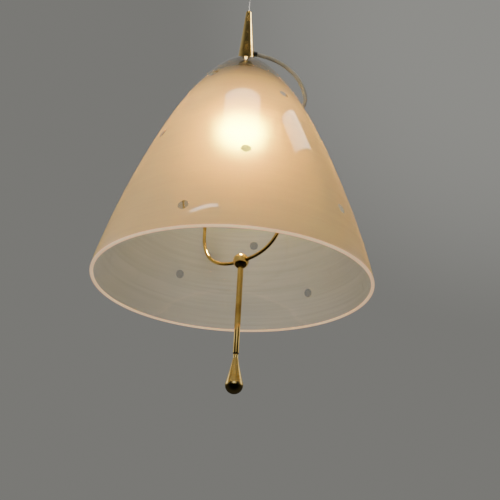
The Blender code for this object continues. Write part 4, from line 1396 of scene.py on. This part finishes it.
# %% [markdown]
# ## The hanging handle
#
# A ball is threaded on the bow, a rod is screwed into it, and a drop ends it. The rod meets the
# drop in a thin neck. The drop is one outline: its side is nearly a cone, and it ends in the
# ball that the cone touches.

# %% Ball
BALL_R, ROD_R = 11 * MM, 4.0
ball_centre = Vector((BOW_LEAN * MM, 0, up(H_BOW)))
bm = bmesh.new()
bmesh.ops.create_uvsphere(bm, u_segments=96, v_segments=64, radius=BALL_R,
                          matrix=Matrix.Translation(ball_centre))
ball = finished_object("bow_ball", bm, bright_brass)
cut(ball,
    bar(BOW_WIRE_R + 0.55 * MM, ball_centre - BOW_WAY * 2 * BALL_R,
        ball_centre + BOW_WAY * 2 * BALL_R, 64),
    bar(2.4 * MM, ball_centre - Vector((0, 0, 4.6 * MM)),
        ball_centre - Vector((0, 0, 2 * BALL_R)), 48))
stand_for(ball, "handle", "brass", "handle_ball")

# %% Rod and drop
hang_at = Matrix.Translation((BOW_LEAN * MM, 0, 0))
rod_top, rod_end = H_BOW - 11, -92.6
turned_piece("hanging_rod", [
    (0, rod_top + 4.5), (2, rod_top + 4.5), (2, rod_top), (ROD_R, rod_top),
    (ROD_R, rod_end + 1.0), (3.3, rod_end + 0.5), (3.3, rod_end), (1.8, rod_end),
    (1.8, rod_end - 7.5), (0, rod_end - 7.5),
], drawn_brass, "handle", "brass", "handle_rod", 0.25, 64, hang_at)

DROP_R, NECK_R, H_SHOULDER, H_DROP_END = 11.7, 3.3, -98.0, -145.0
CONE_SHARE, TOUCH = 0.45, math.radians(15)


def drop_side(t):
    """The drop's outline in millimetres, from its shoulder (t = 0) to its lowest point (t = 1):
    nearly a cone, which ends in the ball that it touches."""
    centre = H_DROP_END + DROP_R
    if t < CONE_SHARE:
        s = t / CONE_SHARE
        swell = 0.85 * s + 0.15 * s * s
        low = centre + DROP_R * math.sin(TOUCH)
        return (NECK_R + (DROP_R * math.cos(TOUCH) - NECK_R) * swell,
                H_SHOULDER + (low - H_SHOULDER) * s)
    a = TOUCH - (math.pi / 2 + TOUCH) * (t - CONE_SHARE) / (1 - CONE_SHARE)
    return (DROP_R * math.cos(a) if t < 1 else 0.0), centre + DROP_R * math.sin(a)


neck = rod_end - 0.4
drop_outline = [(0, neck - 8.3), (2.1, neck - 8.3), (2.1, neck), (2.8, neck),
                (NECK_R, neck - 0.6), (NECK_R, (neck + H_SHOULDER) / 2)]
drop_outline += [drop_side(k / 72) for k in range(73)]
drop = spun("brass_drop", placed_mm(drop_outline), bright_brass, 96, hang_at)
stand_for(drop, "handle", "brass", "handle_drop")

# %% [markdown]
# ## The bulb
#
# A frosted globe bulb on a screw cap. It is lit, so its glass gives off the light: a warm one,
# full below its middle and fading upwards until the neck, in the shade of the cap, gives
# nearly none. The cap's thread is the same rule as on the tube, with the coarse round thread
# of a lamp.


# %% Bulb finish
BULB_GLOW = 260.0
H_GLOW_FULL, H_GLOW_FAINT = 232, 268


def bulb_finish():
    mat, tree, out = new_finish("frosted_bulb")
    where = place(tree, "ShaderNodeTexCoord").outputs["Object"]
    height = place(tree, "ShaderNodeSeparateXYZ", {0: where}).outputs[2]
    frost = grain(tree, 160.0, detail=3.0)
    glow = place(tree, "ShaderNodeMapRange", {
        "Value": height, "From Min": up(H_GLOW_FAINT), "From Max": up(H_GLOW_FULL),
        "To Min": 0.01, "To Max": 1.0,
    }).outputs[0]
    strength = maths(tree, "MULTIPLY", maths(tree, "MULTIPLY", glow, BULB_GLOW),
                     between(tree, frost, 0.96, 1.04))
    shader = place(tree, "ShaderNodeBsdfPrincipled", {
        "Base Color": ramp(tree, frost, (0.3, (0.82, 0.80, 0.74)), (0.7, (0.88, 0.86, 0.80))),
        "Roughness": between(tree, frost, 0.40, 0.52),
        "Emission Color": (1.0, 0.70, 0.12, 1.0), "Emission Strength": strength,
    })
    tree.links.new(shader.outputs[0], out.inputs[0])
    return mat


frosted_bulb = bulb_finish()
print("frosted bulb ready")

# %% Bulb
BULB_R, H_BULB, BULB_WALL = 30, 255, 0.9


def bulb_envelope(inset):
    """The bulb's side in millimetres, from its lowest point up into the cap."""
    radius = BULB_R - inset
    line = [(0, H_BULB - radius)]
    for k in range(1, 45):
        a = math.radians(-90 + 125 * k / 44)
        line.append((radius * math.cos(a), H_BULB + radius * math.sin(a)))
    neck_line = smooth_route([(*line[-2], 0), (*line[-1], 0), (20.4 - inset, 280, 0),
                              (16.7 - inset, 288, 0), (14.2 - inset, 296, 0),
                              (12.4 - inset, 302.5, 0), (12.2 - inset, 310, 0)], 1.0)
    return line + [(p.x, p.y) for p in neck_line if p.y > line[-1][1] + 0.2]


envelope = bulb_envelope(0) + bulb_envelope(BULB_WALL)[::-1]
globe = spun("frosted_globe", placed_mm(envelope), frosted_bulb, 96)
stand_for(globe, "bulb", "bulb_glass", "bulb_glass")


def cap_thread(angle, radius, z):
    """The cap is threaded between its foot and its shoulder, inside and out."""
    inside_thread = up(305) < z < up(322)
    return threaded(3.6 * MM, 0.7 * MM)(angle, radius, z) if inside_thread else radius


cap_side = [(13.2, 303.4 + 0.35 * k) for k in range(55)]
cap_inner = [(12.0, 322.2 - 0.35 * k) for k in range(54)]
bulb_cap = spun("screw_cap", placed_mm([
    *cap_side, (13.0, 322.9), (9.6, 326.4), (8.9, 326), (11.9, 322.4), *cap_inner, (12.6, 303.4),
]), nickel, 96, bend=cap_thread)
stand_for(bulb_cap, "bulb", "nickel", "bulb_cap")
turned_piece("cap_insulation", [(0, 324.5), (8.55, 324.5), (8.55, 327), (5.2, 328.3), (0, 328.3)],
             insulator, "bulb", "insulator", "bulb_insulator", 0.4, 64)
turned_piece("cap_contact", [(0, 328.6), (4.6, 328.6), (3.6, 329.8), (0, 330.2)],
             nickel, "bulb", "nickel", "bulb_tip", 0.4, 64)

# %% [markdown]
# ## Ceiling fitting
#
# A plate is screwed to the ceiling, a domed cap is pushed up over it, and a gripper in the
# middle holds the wire. The cap is spun sheet, so it has a thin wall, and its foot is straight
# where it stands against the ceiling.

# %% Plate, cap and gripper
plate_outline = [(0, 0), (28, 0), (28, -3.5), (7.5, -3.5), (7.5, -13), (4.3, -13), (4.3, -4.5),
                 (0, -4.5)]
ceiling_plate = spun("plate_turned", outline_mm(plate_outline, 0.3, base=0), brass)
cut(ceiling_plate, *[bar(2.4 * MM, (x, 0, -5 * MM), (x, 0, MM), 32) for x in (-19 * MM, 19 * MM)])
stand_for(ceiling_plate, "ceiling", "brass", "ceiling_plate")

CAP_R, CAP_WALL, CAP_DEPTH, CAP_MOUTH = 31.0, 1.2, 25.4, 4.8
CAP_FOOT, CAP_STRAIGHT, CAP_POWER = -0.6, -8.0, 2 / 2.6


def cap_line(inset):
    """One surface of the spun cap: a straight skirt, then a flattened quarter round."""
    radius, depth = CAP_R - inset, CAP_DEPTH - inset
    line = [(radius, CAP_FOOT), (radius, CAP_STRAIGHT)]
    for k in range(1, 33):
        a = math.pi / 2 * k / 32
        r = CAP_MOUTH + (radius - CAP_MOUTH) * math.cos(a) ** CAP_POWER
        line.append((r if k < 32 else CAP_MOUTH,
                     CAP_STRAIGHT - (depth - CAP_FOOT + CAP_STRAIGHT) * math.sin(a) ** CAP_POWER))
    return line


cap_outline = cap_line(0.0) + cap_line(CAP_WALL)[::-1]
ceiling_cap = spun("spun_cap", placed_mm(cap_outline, base=0), brass, 128)
stand_for(ceiling_cap, "ceiling", "brass", "ceiling_cap")

gripper_outline = [(1.4, -8), (3.95, -8), (3.95, -26.3), (7, -26.3), (7, -33), (4.2, -38),
                   (1.4, -38)]
gripper = spun("gripper", outline_mm(gripper_outline, 0.4, base=0), bright_brass)
cut(gripper, bar(1.6 * MM, (2.2 * MM, 0, -30 * MM), (9 * MM, 0, -30 * MM), 32))
stand_for(gripper, "ceiling", "brass", "wire_gripper")

# %% [markdown]
# ## Pieces that stay as they are
#
# Four pieces are shut inside others: the bulb's stem and filament behind its frosted glass, and
# the lead's two cores in the tube. The frame's own solids are right for them, so they only get
# a finish.

# %% Enclosed pieces
for node, mat in (("bulb_stem", insulator), ("bulb_filament", wire_steel),
                  ("inner_core_1", core_sheath), ("inner_core_2", core_sheath)):
    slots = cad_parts[node].material_slots
    slots[0].link = "OBJECT"
    slots[0].material = mat
    print(f"{node}: finish {mat.name}")

# %% [markdown]
# ## Floor, room and lights
#
# The floor is plain and pale, well below the lamp. The room is a soft grey to the eye, lighter
# to the upper right. What the glass and the brass mirror is a fuller room: dark below and
# behind the onlooker, with bright windows round its walls, because a polished rod is made of
# the bright and dark lines that it mirrors. Three soft lamps are mirrored in the glass, a broad
# one nearly overhead, one to the right and a thin one to the left. Two large ones light the
# outside and the back without being mirrored.


# %% Floor
def floor_finish():
    mat, tree, out = new_finish("pale_floor")
    cloud = grain(tree, 1.5, detail=3.0)
    shader = place(tree, "ShaderNodeBsdfPrincipled", {
        "Base Color": ramp(tree, cloud, (0.3, (0.60, 0.59, 0.57)), (0.7, (0.64, 0.63, 0.61))),
        "Roughness": 0.85,
    })
    tree.links.new(shader.outputs[0], out.inputs[0])
    return mat


FLOOR_Z, FLOOR_HALF = -1.6, 12.0
bm = bmesh.new()
bmesh.ops.create_grid(bm, x_segments=2, y_segments=2, size=FLOOR_HALF,
                      matrix=Matrix.Translation((0, 0, FLOOR_Z)))
floor = finished_object("floor", bm, floor_finish())
floor.visible_glossy = False
print(f"floor {-FLOOR_Z} m below the ceiling plate")

# %% Room
ROOM_GREY = (0.198, 0.197, 0.184)
world = bpy.data.worlds.new("room")
world.use_nodes = True
bpy.context.scene.world = world
room = world.node_tree
room.nodes.clear()
direction = place(room, "ShaderNodeTexCoord").outputs["Generated"]
facing = place(room, "ShaderNodeSeparateXYZ", {0: direction}).outputs


def step(value, start, end):
    """0 below start, 1 above end and smooth between; start may be the larger one."""
    return place(room, "ShaderNodeMapRange", {
        "Value": value, "From Min": start, "From Max": end,
    }, interpolation_type="SMOOTHSTEP").outputs[0]


not_behind = maths(room, "MULTIPLY_ADD", step(facing[1], -0.75, 0.35), 0.90, 0.10)
ceiling = maths(room, "MULTIPLY_ADD", step(facing[2], -0.10, 0.70), 1.35, 0.09)
turn = maths(room, "ARCTAN2", facing[0], maths(room, "MULTIPLY", facing[1], -1.0))
wave = maths(room, "COSINE", maths(room, "MULTIPLY", turn, 3.3))
windows = maths(room, "POWER", maths(room, "MULTIPLY_ADD", wave, 0.5, 0.5), 2.5)
wall = maths(room, "MULTIPLY", step(facing[2], 0.12, 0.28), step(facing[2], 0.62, 0.50))
mirrored_room = maths(room, "MULTIPLY_ADD", maths(room, "MULTIPLY", windows, wall), 4.2,
                      maths(room, "MULTIPLY", not_behind, ceiling))
toward = place(room, "ShaderNodeVectorMath", {0: direction, 1: (0.33, 0.66, 0.68)},
               operation="DOT_PRODUCT").outputs["Value"]
lighter = maths(room, "MULTIPLY_ADD", step(toward, 0.90, 1.0), 0.47, 0.98)
plain = place(room, "ShaderNodeBackground", {"Color": (*ROOM_GREY, 1.0), "Strength": lighter})
shaded = place(room, "ShaderNodeBackground", {
    "Color": (0.25, 0.25, 0.245, 1.0), "Strength": mirrored_room,
})
seen = place(room, "ShaderNodeLightPath").outputs["Is Camera Ray"]
either = mixed(room, seen, shaded.outputs[0], plain.outputs[0])
place(room, "ShaderNodeOutputWorld", {0: either})
print("room ready")


# %% Lamps of the room
def soft_lamp(name, seen_from, way, distance, sides, brightness, long_axis=(1, 0, 0),
              colour=(1, 1, 1), mirrored=True):
    """An area lamp that faces the point seen_from, in the direction way from it. sides are its
    length along long_axis and its breadth, and brightness is its radiance. A lamp is either
    mirrored or lights what is matt."""
    away = Vector(way).normalized()
    along = Vector(long_axis)
    along = (along - away * along.dot(away)).normalized()
    data = bpy.data.lights.new(name, "AREA")
    data.shape = "RECTANGLE"
    data.size, data.size_y = sides
    data.energy = brightness * math.pi * sides[0] * sides[1]
    data.color = colour
    obj = bpy.data.objects.new(name, data)
    turned = Matrix((along, away.cross(along), away)).transposed()
    obj.matrix_world = Matrix.Translation(Vector(seen_from) + away * distance) @ turned.to_4x4()
    obj.visible_camera = False
    obj.visible_glossy = mirrored
    obj.visible_diffuse = not mirrored
    bpy.context.scene.collection.objects.link(obj)
    return obj


soft_lamp("overhead", (0, -0.129, up(196)), (-0.006, -0.18, 0.98), 1.25, (0.56, 0.36), 13.0,
          colour=(1.0, 0.93, 0.80))
soft_lamp("right_window", (0.071, -0.119, up(174)), (0.475, 0.15, 0.86), 1.25, (0.42, 0.22), 9.0,
          long_axis=(0.10, 0.98, -0.20), colour=(1.0, 0.93, 0.80))
soft_lamp("left_strip", (-0.033, -0.182, up(23)), (-0.318, -0.50, 0.805), 1.3, (0.40, 0.03), 16.0,
          long_axis=(0.28, -0.10, 0.05))
soft_lamp("fill", (0, 0, up(120)), (-0.30, -0.85, 0.30), 2.2, (1.8, 1.4), 2.9,
          colour=(1.0, 0.98, 0.95), mirrored=False)
back_fill = soft_lamp("back_fill", (0, 0, up(120)), (0.15, 0.90, 0.25), 2.2, (3.0, 2.4), 1.3,
                      colour=(1.0, 0.98, 0.95), mirrored=False)
back_fill.data.use_shadow = False  # or the lead's coil would draw a ring on the glass
print("five lamps")
